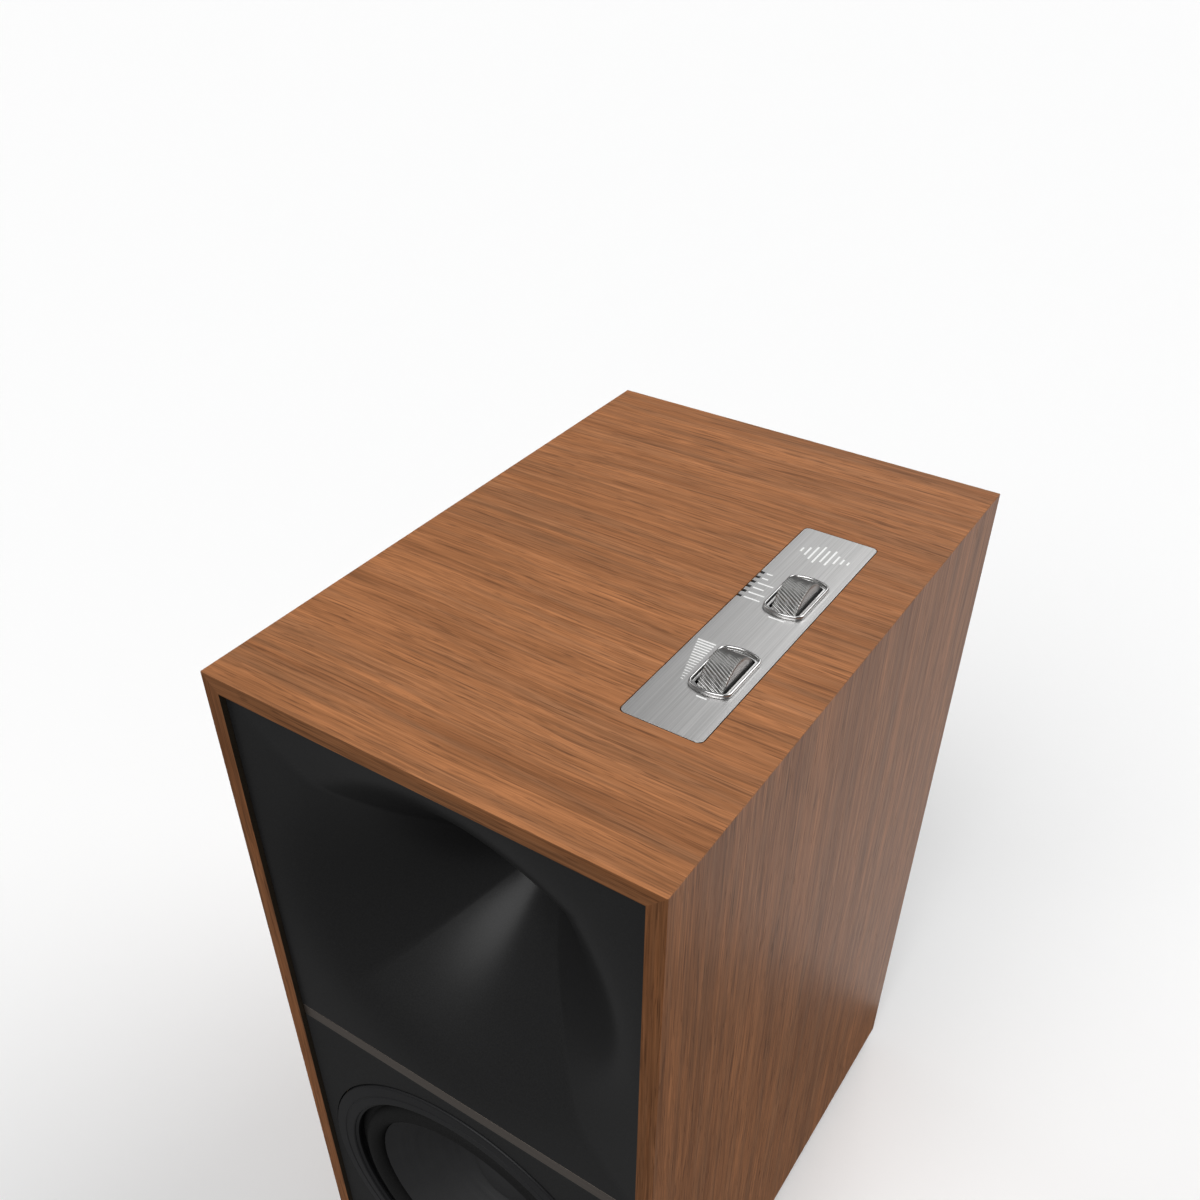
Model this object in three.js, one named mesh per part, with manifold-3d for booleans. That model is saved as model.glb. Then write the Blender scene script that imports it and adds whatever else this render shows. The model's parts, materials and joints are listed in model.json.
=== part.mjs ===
// A two-way powered loudspeaker: a walnut cabinet with a square horn above an 8-inch woofer,
// two thumb wheels in a control plate on the top, and its amplifier in the recessed back.
// Millimetres. +X is the listener's right, +Y points back, +Z is up, and z = 0 is under the feet.
import * as THREE from "three";
import { mergeVertices } from "three/addons/utils/BufferGeometryUtils.js";
import Module from "manifold-3d";

const wasm = await Module();
wasm.setup();

// ---------------------------------------------------------------- driving dimensions
const WIDTH = 237; // cabinet
const DEPTH = 345;
const CABINET_HEIGHT = 473;
const WALL = 15; // panel thickness
const FRAME_EDGE = 9; // thickness of the front frame, where the panels are rebated
const REBATE_DEPTH = 23; // how far back the rebate runs
const MITRE_GAP = 0.05; // glue line, on each side of a mitre
const CLEARANCE = 0.3; // between pieces that fit into one another

const FOOT_HEIGHT = 9.5;
const FOOT_RADIUS = 16;
const FOOT_INSET = 32; // foot centre to the cabinet's side

const FACE_RECESS = 2.8; // front faces behind the frame's front edge
const FACE_THICKNESS = 4.7; // horn flange, trim strip and woofer fascia
const BAFFLE_THICKNESS = 15;
const STRIP_HEIGHT = 8.7;
const STRIP_Z = 244.5; // lower edge of the trim strip

const HORN_DEPTH = 85; // mouth plane to throat
const HORN_WALL = 4;
const THROAT_RADIUS = 12.7;
const CORNER_SLOPE = 0.5; // how the horn's corners open towards the mouth
const CORNER_FLARE = 0.00328; // per mm
const WALL_BOW = 1.31; // middle of a wall against its corner: square is 1, round is 1.41
const MOUTH_ROLL = [2, 3]; // how fast the corners and the walls' middles leave the mouth's roll
const HORN_FLANGE_RADIUS = 38;
const HORN_FLANGE = 6; // thickness of the flange at the throat
const HORN_HOLE = 99; // half width of the baffle's square hole

const WOOFER_RADIUS = 103.5; // basket flange
const WOOFER_HOLE = 92; // radius of the baffle's hole
const CONE_RADIUS = 71.7;
const COIL_RADIUS = 19.5; // middle of the voice coil's former
const MAGNET_RADIUS = 68;

const PORT_RADIUS = 30;
const PORT_LENGTH = 118;
const PORT_Z = 421;

const PLATE_WIDTH = 39.7; // control plate in the top panel
const PLATE_LENGTH = 177.5;
const PLATE_X = 67.05; // its centre
const PLATE_Y = -5.65;
const PLATE_THICKNESS = 2;
const PLATE_CORNER = 3;
const WHEEL_X = 72;
const WHEEL_RADIUS = 15.3;
const WHEEL_WIDTH = 13;
const WHEEL_RISE = 8.4; // how far a wheel stands above the plate
const SOURCE_Y = 21.4;
const VOLUME_Y = -47.5;
const SHAFT_RADIUS = 2.2;
const SLOT_WIDTH = 15.3;
const SLOT_LENGTH = 29.9;
const BEZEL_BOW = 1.3; // how far a bezel's ends bow outwards
const BEZEL_SIZE = [21.3, 33.3];
const BEZEL_RIDGE = 1.6; // width of its raised edge along the sides
const PLATE_SLOT = [19.3, 31.7]; // the plate's own hole, hidden under the bezel
const BEZEL_STEP_HEIGHT = 0.5;
const BEZEL_HEIGHT = 1.3;
const TRAY_DEPTH = 25.6;
const TRAY_WALL = 2;
const ENCODER = [7.4, 14]; // thickness, and width along Y
const LED_COUNT = 6;
const LED_PITCH = 4.68;
const LED_Y = 21; // middle of the row of lights
const LED_SLOT = [2.3, 2]; // length in from the plate's edge, and width

const BRACE_Y = [-149, 60]; // shelf brace, front to back
const BRACE_Z = [246, 258];
const BRACE_RAIL = 22;
const PAD_THICKNESS = 12; // damping felt on the left side
const PAD_Y = [-140, 120];
const PAD_Z = [265, 455];
const HORN_STEPS = 7; // facets along each wall of the horn

const DRIVER_RADIUS = 45; // compression driver, distances back from the throat
const DRIVER_PLATE = 7.3;
const DRIVER_REAR = 24.3;
const DRIVER_TAIL = 20; // the cover's depth behind the magnet
const DRIVER_BORE = 27; // radius of the magnet's hole
const POLE_BORE = 16.7; // wide end of the pole's conical bore
const DOME_RADIUS = 22;
const DOME_SKIRT = 23.8; // middle of the diaphragm's coil former
const DOME_RISE = 8.8;
const DOME_THICKNESS = 0.8;
const PLUG_RADIUS = 12;
const PLUG_FINS = 3;

const PORT_FLARE = 11;
const PORT_SLEEVE = 42; // radius of the rear panel's hole for the port
const PORT_RIM = 46;
const BASKET_WINDOWS = 6;

const BACK_RECESS = 2.5; // rear panel behind the cabinet's back edges
const PAN_WIDTH = 190; // recessed amplifier panel
const PAN_HEIGHT = 240;
const PAN_Z = 170; // its centre
const PAN_RIM = 8;
const PAN_WALL = 2.5;
const PAN_LIP = 2; // thickness of the rim on the rear panel
const PAN_DEPTH = 15; // rear panel's face to the recessed floor
const BOARD_OFFSET = 25; // amplifier board in front of the pan
const CAPACITOR_RADIUS = 11;
const CAPACITOR_LENGTH = 32;
const SINK_WIDTH = 120;
const SINK_FINS = 9;
const SINK_FIN = 2.5;

// Pieces on the pan's floor: centre in X and Z, and widths in X and Z.
const INLET_AT = [-52, 82];
const INLET_BODY = [30, 22];
const INLET_SOCKET = [25, 17];
const INLET_SOCKET_DEPTH = 17;
const ROCKER_AT = [-52, 122];
const ROCKER_BODY = [22, 29];
const ROCKER = [17, 22];
const ROCKER_TILT = 8; // degrees
const ROCKER_PIVOT = 1;
const HDMI_AT = [8, 128];
const HDMI_BODY = [15.4, 6.2];
const OPTICAL_AT = [34, 128];
const OPTICAL_SIZE = 10.2;
const USB_AT = [60, 128];
const USB_BODY = [12, 11];
const USB_SOCKET = [8.6, 7.8];
const JACK_RADIUS = 4.2;
const JACKS = [
  ["line_jack_left", [34, 238]],
  ["line_jack_right", [34, 214]],
  ["sub_jack", [34, 172]],
];
const SLIDER_AT = [62, 226];
const SLIDER_SLOT = [6, 12];
const SLIDER_TRAVEL = 3; // each way from the middle of its slot
const GROUND_AT = [6, 226];
const BUTTON_AT = [-24, 226];
const BUTTON_RADIUS = 3.5;
const LINK_AT = [-56, 178];
const LINK_RADIUS = 9;

// ---------------------------------------------------------------- places that follow
const BASE = FOOT_HEIGHT;
const TOP = BASE + CABINET_HEIGHT;
const FRONT = -DEPTH / 2;
const BACK = DEPTH / 2;
const OPENING = WIDTH / 2 - FRAME_EDGE; // half width of the front opening
const OPENING_LOW = BASE + FRAME_EDGE;
const OPENING_HIGH = TOP - FRAME_EDGE;
const INSIDE = WIDTH / 2 - WALL; // half width behind the rebate
const FACE = FRONT + FACE_RECESS; // front plane of horn, strip and fascia
const BOARD = FACE + FACE_THICKNESS; // front plane of the baffle board
const STRIP_TOP = STRIP_Z + STRIP_HEIGHT;
const HORN_Z = (STRIP_TOP + OPENING_HIGH) / 2;
const HORN_HALF = [OPENING - CLEARANCE, (OPENING_HIGH - STRIP_TOP) / 2 - CLEARANCE];
const THROAT = FACE + HORN_DEPTH;
const WOOFER_Z = (OPENING_LOW + STRIP_Z) / 2;
const REAR_FACE = BACK - BACK_RECESS;
const REAR_INSIDE = REAR_FACE - WALL;
const PAN_FLOOR = REAR_FACE - PAN_DEPTH; // outer face of the pan's floor
const PAN_BACK = PAN_FLOOR - PAN_WALL; // inner face of the pan's floor
const WHEEL_Z = TOP + WHEEL_RISE - WHEEL_RADIUS;
const BASKET_FRONT = BOARD - 2.5; // front of the basket's flange
const LEDGE = BOARD + 1.5; // where the surround is glued to the basket
const BASKET_REAR = BOARD + 77;
const NECK_Y = BOARD + 40; // where the cone meets the voice coil
const SPIDER_Y = BOARD + 52;
const SPIDER_RADIUS = 68;
const TRIM_RING_BORE = 88;

// ---------------------------------------------------------------- materials
const finish = (color, roughness, metalness = 0) => ({ color, roughness, metalness });
const WALNUT = finish(0x966747, 0.5);
const MDF = finish(0x8d7355, 0.9);
const MOULDING = finish(0x1c1c1d, 0.42);
const TEXTURED_BLACK = finish(0x1a1a1a, 0.75);
const TRIM_METAL = finish(0x6d655d, 0.4, 0.8);
const BRUSHED = finish(0xb4b2b0, 0.35, 0.9);
const CHROME = finish(0xe2e2e2, 0.12, 1);
const DARK_METAL = finish(0x55534f, 0.4, 0.8);
const STEEL = finish(0x9a9a98, 0.4, 0.9);
const FERRITE = finish(0x2b2b2d, 0.7);
const RUBBER = finish(0x171717, 0.85);
const PULP = finish(0x2a2a2b, 0.7);
const FABRIC = finish(0xa07a3c, 0.85);
const TITANIUM = finish(0xa9a7a2, 0.35, 0.9);
const PLASTIC = finish(0x202022, 0.5);
const PANEL_BLACK = finish(0x1f1f20, 0.55, 0.3);
const GOLD = finish(0xc7a04a, 0.3, 1);
const BOARD_GREEN = finish(0x1f4a32, 0.6);
const ALUMINIUM = finish(0xb9babb, 0.45, 0.9);
const COPPER = finish(0x9c5a33, 0.4, 0.8);
const FELT = finish(0x4b4b4d, 0.95);

// ---------------------------------------------------------------- solids
// A geometry's closed surface as a manifold-3d solid.
function solid(geometry) {
  const bare = geometry.index ? geometry.toNonIndexed() : geometry.clone();
  bare.deleteAttribute("normal");
  bare.deleteAttribute("uv");
  const merged = mergeVertices(bare, 1e-4);
  return new wasm.Manifold(
    new wasm.Mesh({
      numProp: 3,
      vertProperties: merged.attributes.position.array,
      triVerts: new Uint32Array(merged.index.array),
    }),
  );
}

function geometryOf(made) {
  const mesh = made.getMesh();
  const geometry = new THREE.BufferGeometry();
  geometry.setAttribute("position", new THREE.BufferAttribute(mesh.vertProperties, 3));
  geometry.setIndex(new THREE.BufferAttribute(mesh.triVerts, 1));
  return geometry.toNonIndexed();
}

// The first geometry with the others joined to it, or cut from it.
const join = (first, ...others) =>
  geometryOf(others.reduce((made, g) => made.add(solid(g)), solid(first)));
const cut = (first, ...others) =>
  geometryOf(others.reduce((made, g) => made.subtract(solid(g)), solid(first)));

// A block between two corners.
function block([x0, y0, z0], [x1, y1, z1]) {
  const box = new THREE.BoxGeometry(x1 - x0, y1 - y0, z1 - z0);
  return box.translate((x0 + x1) / 2, (y0 + y1) / 2, (z0 + z1) / 2);
}

// A profile of [radius, distance] points turned about +Y: distance runs back from the centre.
function turned(profile, [x, y, z] = [0, 0, 0], segments = 28) {
  const points = profile.map(([radius, along]) => new THREE.Vector2(radius, along));
  return outward(new THREE.LatheGeometry(points, segments)).translate(x, y, z);
}

// A tube or ring: inner and outer radius, from one distance to another.
const ring = (inner, outer, from, to, centre, segments) =>
  turned([[inner, from], [outer, from], [outer, to], [inner, to], [inner, from]], centre, segments);

const rod = (radius, from, to, centre, segments) =>
  turned([[0, from], [radius, from], [radius, to], [0, to]], centre, segments);

// Turns a closed geometry's faces outwards.
function outward(geometry) {
  const made = geometry.index ? geometry.toNonIndexed() : geometry;
  const p = made.attributes.position;
  let volume = 0;
  const [a, b, c] = [new THREE.Vector3(), new THREE.Vector3(), new THREE.Vector3()];
  for (let i = 0; i < p.count; i += 3) {
    a.fromBufferAttribute(p, i);
    b.fromBufferAttribute(p, i + 1);
    c.fromBufferAttribute(p, i + 2);
    volume += a.dot(b.cross(c));
  }
  if (volume < 0) {
    for (let i = 0; i < p.count; i += 3) {
      b.fromBufferAttribute(p, i + 1);
      c.fromBufferAttribute(p, i + 2);
      p.setXYZ(i + 1, c.x, c.y, c.z);
      p.setXYZ(i + 2, b.x, b.y, b.z);
    }
  }
  return made;
}

// A rounded rectangle, about the origin.
function roundedOutline(width, height, radius) {
  const [w, h, r] = [width / 2, height / 2, radius];
  const shape = new THREE.Shape();
  shape.absarc(w - r, h - r, r, 0, Math.PI / 2);
  shape.absarc(-w + r, h - r, r, Math.PI / 2, Math.PI);
  shape.absarc(-w + r, -h + r, r, Math.PI, 1.5 * Math.PI);
  shape.absarc(w - r, -h + r, r, 1.5 * Math.PI, 2 * Math.PI);
  shape.closePath();
  return shape;
}

// Long straight sides along the outline's height, and ends bowed outwards.
function bowedOutline(width, height, bow) {
  const [w, h] = [width / 2, height / 2 - bow];
  const shape = new THREE.Shape();
  shape.moveTo(w, -h);
  shape.lineTo(w, h);
  shape.quadraticCurveTo(0, h + 2 * bow, -w, h);
  shape.lineTo(-w, -h);
  shape.quadraticCurveTo(0, -h - 2 * bow, w, -h);
  return shape;
}

// An outline in X and Y, raised from one height to another.
function raised(outline, low, high, curveSegments = 5) {
  const options = { depth: high - low, bevelEnabled: false, curveSegments };
  return new THREE.ExtrudeGeometry(outline, options).translate(0, 0, low);
}

// An outline in X and Z, run back from one y to another.
function runBack(outline, from, to, curveSegments = 5) {
  const options = { depth: to - from, bevelEnabled: false, curveSegments };
  const geometry = new THREE.ExtrudeGeometry(outline, options);
  return geometry.rotateX(Math.PI / 2).translate(0, to, 0);
}

const speaker = new THREE.Group();

function add(name, material, geometry, parent = speaker) {
  geometry.computeVertexNormals();
  const mesh = new THREE.Mesh(geometry, new THREE.MeshStandardMaterial(material));
  mesh.name = name;
  parent.add(mesh);
  return mesh;
}

// ---------------------------------------------------------------- cabinet
// A panel with mitred ends, as seen from the front: outer edge, then inner edge.
function mitredPanel(corners) {
  return runBack(new THREE.Shape(corners.map(([x, z]) => new THREE.Vector2(x, z))), FRONT, BACK);
}

// Cuts the rebate for the baffle from the front of all four panels.
const rebate = () =>
  block([-OPENING, FRONT - 1, OPENING_LOW], [OPENING, FRONT + REBATE_DEPTH, OPENING_HIGH]);

function buildCabinet() {
  const [side, gap] = [WIDTH / 2, MITRE_GAP];
  const [innerLow, innerHigh] = [BASE + WALL, TOP - WALL];
  const top = mitredPanel([
    [-side + gap, TOP],
    [side - gap, TOP],
    [INSIDE - gap, innerHigh],
    [-INSIDE + gap, innerHigh],
  ]);
  const bottom = mitredPanel([
    [-side + gap, BASE],
    [side - gap, BASE],
    [INSIDE - gap, innerLow],
    [-INSIDE + gap, innerLow],
  ]);
  const right = mitredPanel([
    [side, BASE + gap],
    [side, TOP - gap],
    [INSIDE, innerHigh - gap],
    [INSIDE, innerLow + gap],
  ]);
  const plateHole = roundedOutline(
    PLATE_WIDTH + 2 * CLEARANCE,
    PLATE_LENGTH + 2 * CLEARANCE,
    PLATE_CORNER + CLEARANCE,
  );
  const pocket = raised(plateHole, TOP - WALL - 1, TOP + 1).translate(PLATE_X, PLATE_Y, 0);
  add("cabinet_top", WALNUT, cut(top, rebate(), pocket));
  add("cabinet_bottom", WALNUT, cut(bottom, rebate()));
  const rightSide = cut(right, rebate());
  add("cabinet_right", WALNUT, rightSide);
  add("cabinet_left", WALNUT, outward(rightSide.clone().scale(-1, 1, 1)));

  const panHole = [PAN_WIDTH / 2 - PAN_RIM, PAN_HEIGHT / 2 - PAN_RIM];
  const rear = cut(
    block([-INSIDE, REAR_INSIDE, innerLow], [INSIDE, REAR_FACE, innerHigh]),
    block(
      [-panHole[0], REAR_INSIDE - 1, PAN_Z - panHole[1]],
      [panHole[0], REAR_FACE + 1, PAN_Z + panHole[1]],
    ),
    rod(PORT_SLEEVE, REAR_INSIDE - 1, REAR_FACE + 1, [0, 0, PORT_Z]),
  );
  add("rear_panel", TEXTURED_BLACK, rear);

  const edge = OPENING - CLEARANCE;
  const board = cut(
    block(
      [-edge, BOARD, OPENING_LOW + CLEARANCE],
      [edge, BOARD + BAFFLE_THICKNESS, OPENING_HIGH - CLEARANCE],
    ),
    block(
      [-HORN_HOLE, BOARD - 1, HORN_Z - HORN_HOLE],
      [HORN_HOLE, BOARD + BAFFLE_THICKNESS + 1, HORN_Z + HORN_HOLE],
    ),
    rod(WOOFER_HOLE, BOARD - 1, BOARD + BAFFLE_THICKNESS + 1, [0, 0, WOOFER_Z], 36),
  );
  add("baffle_board", MDF, board);

  // The shelf runs between the sides behind the trim strip, with one window for the air.
  const brace = cut(
    block([-INSIDE, BRACE_Y[0], BRACE_Z[0]], [INSIDE, BRACE_Y[1], BRACE_Z[1]]),
    block(
      [-INSIDE + BRACE_RAIL, BRACE_Y[0] + BRACE_RAIL, BRACE_Z[0] - 1],
      [INSIDE - BRACE_RAIL, BRACE_Y[1] - BRACE_RAIL, BRACE_Z[1] + 1],
    ),
  );
  add("shelf_brace", MDF, brace);
  add(
    "damping_pad",
    FELT,
    block(
      [-INSIDE + CLEARANCE, PAD_Y[0], PAD_Z[0]],
      [-INSIDE + PAD_THICKNESS, PAD_Y[1], PAD_Z[1]],
    ),
  );

  for (const [end, y] of [["front", -1], ["back", 1]]) {
    for (const [hand, x] of [["left", -1], ["right", 1]]) {
      const foot = new THREE.CylinderGeometry(FOOT_RADIUS, FOOT_RADIUS - 2, FOOT_HEIGHT, 28);
      foot.rotateX(Math.PI / 2).translate(
        x * (WIDTH / 2 - FOOT_INSET),
        y * (DEPTH / 2 - FOOT_INSET),
        FOOT_HEIGHT / 2,
      );
      add("foot_" + end + "_" + hand, RUBBER, foot);
    }
  }
}

// ---------------------------------------------------------------- horn
// Half width of the horn's corners and of the middle of its walls, at a depth behind the mouth.
// The throat is round, the walls stay bowed between sharp corners, and the mouth rolls over
// into a square.
function hornFlare(depth) {
  const left = HORN_DEPTH - depth;
  return THROAT_RADIUS * Math.SQRT1_2 + CORNER_SLOPE * left + CORNER_FLARE * left * left;
}

const hornCorner = (depth) =>
  hornFlare(depth) + (HORN_HALF[0] - hornFlare(0)) * Math.exp(-depth / MOUTH_ROLL[0]);

function hornWall(depth) {
  const bow = WALL_BOW + (Math.SQRT2 - WALL_BOW) * (depth / HORN_DEPTH) ** 4;
  const roll = (HORN_HALF[0] - WALL_BOW * hornFlare(0)) * Math.exp(-depth / MOUTH_ROLL[1]);
  return bow * hornFlare(depth) + roll;
}

// One closed ring around the horn: four walls that bow between their corners.
function hornRing(depth, corner, wall) {
  const points = [];
  for (let side = 0; side < 4; side++) {
    for (let i = 0; i < HORN_STEPS; i++) {
      const along = (2 * i) / HORN_STEPS - 1;
      const out = wall + (corner - wall) * along * along;
      const over = corner * along;
      const [x, z] = [[out, over], [-over, out], [-out, -over], [over, -out]][side];
      points.push([x, FACE + depth, HORN_Z + (z * HORN_HALF[1]) / HORN_HALF[0]]);
    }
  }
  return points;
}

// Closed rings of equal size, joined in a loop.
function loft(rings) {
  const positions = [];
  const count = rings[0].length;
  rings.forEach((ring, k) => {
    const next = rings[(k + 1) % rings.length];
    for (let i = 0; i < count; i++) {
      const j = (i + 1) % count;
      positions.push(...ring[i], ...next[i], ...next[j]);
      positions.push(...ring[i], ...next[j], ...ring[j]);
    }
  });
  const geometry = new THREE.BufferGeometry();
  return outward(
    geometry.setAttribute("position", new THREE.Float32BufferAttribute(positions, 3)),
  );
}

function buildHorn() {
  const inside = [0, 0.4, 1, 2, 3.5, 6, 10, 16, 24, 34, 46, 60, 73, HORN_DEPTH];
  const rings = inside.map((d) => hornRing(d, hornCorner(d), hornWall(d)));
  const flange = HORN_DEPTH - HORN_FLANGE;
  const round = HORN_FLANGE_RADIUS;
  rings.push(hornRing(HORN_DEPTH, round * Math.SQRT1_2, round));
  rings.push(hornRing(flange, round * Math.SQRT1_2, round));
  for (const d of [flange - 0.5, 60, 44, 28, 16, 9]) {
    rings.push(hornRing(d, hornCorner(d) + HORN_WALL, hornWall(d) + HORN_WALL));
  }
  rings.push(hornRing(FACE_THICKNESS, HORN_HOLE - 2, HORN_HOLE - 2));
  rings.push(hornRing(FACE_THICKNESS, HORN_HALF[0], HORN_HALF[0]));
  add("horn", MOULDING, loft(rings));

  const centre = [0, THROAT, HORN_Z];
  add(
    "driver_front_plate",
    STEEL,
    ring(THROAT_RADIUS, DRIVER_RADIUS, CLEARANCE, DRIVER_PLATE, centre),
  );
  add(
    "driver_magnet",
    FERRITE,
    ring(DRIVER_BORE, DRIVER_RADIUS, DRIVER_PLATE, DRIVER_REAR, centre),
  );
  const pole = turned(
    [
      [THROAT_RADIUS, DRIVER_PLATE],
      [DOME_RADIUS, DRIVER_PLATE],
      [DOME_RADIUS, DRIVER_REAR],
      [POLE_BORE, DRIVER_REAR],
      [THROAT_RADIUS, DRIVER_PLATE],
    ],
    centre,
  );
  add("driver_pole", STEEL, pole);

  // A bullet on thin fins in the pole's bore.
  const [tip, nose, finFront] = [4, 7, 9];
  const bullet = turned(
    [
      [0, tip],
      [tip, nose],
      [PLUG_RADIUS, DRIVER_REAR],
      [0, DRIVER_REAR],
    ],
    centre,
    24,
  );
  const fins = Array.from({ length: PLUG_FINS }, (_, i) =>
    block([-0.7, finFront, 0], [0.7, DRIVER_REAR, THROAT_RADIUS - CLEARANCE])
      .rotateY((i * 2 * Math.PI) / PLUG_FINS)
      .translate(...centre),
  );
  add("driver_phase_plug", PLASTIC, join(bullet, ...fins));

  // The dome is cupped away from the horn, with its coil's former in the gap.
  const [inner, outer] = [DOME_SKIRT - 0.4, DOME_SKIRT + 0.4];
  const [skirt, rest, rim] = [DRIVER_REAR - 12.3, DRIVER_REAR + 1, 28.5];
  const diaphragm = turned(
    [
      [inner, skirt],
      [outer, skirt],
      [outer, rest],
      [rim, rest],
      [rim, rest + DOME_THICKNESS],
      [inner - 0.2, rest + DOME_THICKNESS],
      [18, rest + 0.52 * DOME_RISE],
      [10, rest + 0.88 * DOME_RISE],
      [0, rest + DOME_RISE],
      [0, rest + DOME_RISE - DOME_THICKNESS],
      [10, rest + 0.88 * DOME_RISE - DOME_THICKNESS],
      [17.6, rest + 0.52 * DOME_RISE - DOME_THICKNESS],
      [inner - 1, rest],
      [inner, rest - 0.6],
      [inner, skirt],
    ],
    centre,
  );
  add("driver_diaphragm", TITANIUM, diaphragm);

  const [room, coverWall, tail] = [30, 3, DRIVER_REAR + DRIVER_TAIL];
  const cover = turned(
    [
      [room, DRIVER_REAR],
      [DRIVER_RADIUS, DRIVER_REAR],
      [DRIVER_RADIUS, tail - 6],
      [DRIVER_RADIUS - 5, tail],
      [0, tail],
      [0, tail - coverWall],
      [room, tail - coverWall],
      [room, DRIVER_REAR],
    ],
    centre,
  );
  add("driver_cover", PLASTIC, cover);
}

// ---------------------------------------------------------------- front trim and woofer
function buildFront() {
  const edge = OPENING - CLEARANCE;
  add(
    "trim_strip",
    TRIM_METAL,
    block([-edge, FACE, STRIP_Z], [edge, BOARD, STRIP_TOP - CLEARANCE]),
  );
  const fascia = cut(
    block([-edge, FACE, OPENING_LOW + CLEARANCE], [edge, BOARD, STRIP_Z - CLEARANCE]),
    rod(WOOFER_RADIUS + 2 * CLEARANCE, FACE - 1, BOARD + 1, [0, 0, WOOFER_Z], 48),
  );
  add("woofer_fascia", TEXTURED_BLACK, fascia);
  add(
    "woofer_trim_ring",
    PLASTIC,
    turned(
      [
        [TRIM_RING_BORE, BASKET_FRONT],
        [TRIM_RING_BORE, BASKET_FRONT - 1.6],
        [TRIM_RING_BORE + 2.5, FACE - 1.2],
        [WOOFER_RADIUS - 1, FACE - 1.2],
        [WOOFER_RADIUS, FACE - 0.4],
        [WOOFER_RADIUS, BASKET_FRONT],
        [TRIM_RING_BORE, BASKET_FRONT],
      ],
      [0, 0, WOOFER_Z],
      48,
    ),
  );
}

function buildWoofer() {
  const centre = [0, 0, WOOFER_Z];
  const basket = turned(
    [
      [88.9, BASKET_FRONT],
      [WOOFER_RADIUS, BASKET_FRONT],
      [WOOFER_RADIUS, BOARD],
      [WOOFER_HOLE - 0.5, BOARD],
      [WOOFER_HOLE - 0.5, BOARD + 4],
      [87, BOARD + 15],
      [64, BASKET_REAR],
      [26, BASKET_REAR],
      [26, BASKET_REAR - 3],
      [61.5, BASKET_REAR - 3],
      [84.2, BOARD + 15],
      [84.2, LEDGE],
      [88.9, LEDGE],
      [88.9, BASKET_FRONT],
    ],
    centre,
    36,
  );
  const windows = Array.from({ length: BASKET_WINDOWS }, (_, i) =>
    block([-19, BOARD + 19, 50], [19, SPIDER_Y - 6, 110])
      .rotateY(((i + 0.5) * 2 * Math.PI) / BASKET_WINDOWS)
      .translate(...centre),
  );
  add("woofer_basket", STEEL, cut(basket, ...windows));

  // The surround's half roll stands forward between the basket's ledge and the cone's edge.
  const [middle, roll] = [(CONE_RADIUS + 84) / 2, (84 - CONE_RADIUS) / 2 - 0.4];
  const arc = (radius, reverse) =>
    Array.from({ length: 6 }, (_, i) => {
      const angle = (Math.PI * (reverse ? 5 - i : i)) / 5;
      return [middle - radius * Math.cos(angle), LEDGE - 0.4 - radius * Math.sin(angle)];
    });
  const surround = [...arc(roll, false)];
  surround.push([88.4, LEDGE - 0.4], [88.4, LEDGE]);
  surround.push([middle + roll - 0.8, LEDGE], ...arc(roll - 0.8, true), surround[0]);
  add("woofer_surround", RUBBER, turned(surround, centre, 36));

  const neck = COIL_RADIUS + 0.5 + CLEARANCE;
  const cone = [
    [neck, NECK_Y],
    [40, NECK_Y - 19],
    [CONE_RADIUS, LEDGE - 0.4],
    [CONE_RADIUS, LEDGE + 0.6],
    [40, NECK_Y - 17.8],
    [neck, NECK_Y + 1.4],
    [neck, NECK_Y],
  ];
  add("woofer_cone", PULP, turned(cone, centre, 36));
  const cap = [
    [27, NECK_Y - 9.2],
    [20, NECK_Y - 14],
    [10, NECK_Y - 17.4],
    [0, NECK_Y - 18.6],
    [0, NECK_Y - 17.8],
    [10, NECK_Y - 16.6],
    [19.6, NECK_Y - 13.2],
    [25.6, NECK_Y - 9],
    [27, NECK_Y - 9.2],
  ];
  add("woofer_dust_cap", PULP, turned(cap, centre, 24));
  add(
    "woofer_voice_coil",
    COPPER,
    ring(COIL_RADIUS - 0.5, COIL_RADIUS + 0.5, NECK_Y - 1, BASKET_REAR + 16, centre, 32),
  );
  // Corrugations of the spider, between the coil's former and the basket's wall.
  const waves = Array.from({ length: 9 }, (_, i) => [
    neck + ((SPIDER_RADIUS - neck) * i) / 8,
    SPIDER_Y + (i % 2 ? -1.6 : 1.6) * (i > 0 && i < 8 ? 1 : 0),
  ]);
  const spider = [...waves, ...waves.map(([r, y]) => [r, y + 0.8]).reverse(), waves[0]];
  add("woofer_spider", FABRIC, turned(spider, centre, 24));

  const [plate, magnet] = [BASKET_REAR + 8, BASKET_REAR + 28];
  add("woofer_top_plate", STEEL, ring(COIL_RADIUS + 2, 62, BASKET_REAR, plate, centre, 32));
  add("woofer_magnet", FERRITE, ring(32, MAGNET_RADIUS, plate, magnet, centre, 32));
  const pole = COIL_RADIUS - 1.7;
  const yoke = [
    [5, BASKET_REAR + 1],
    [pole, BASKET_REAR + 1],
    [pole, magnet],
    [62, magnet],
    [62, magnet + 8],
    [5, magnet + 8],
    [5, BASKET_REAR + 1],
  ];
  add("woofer_yoke", STEEL, turned(yoke, centre, 32));
}

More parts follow.
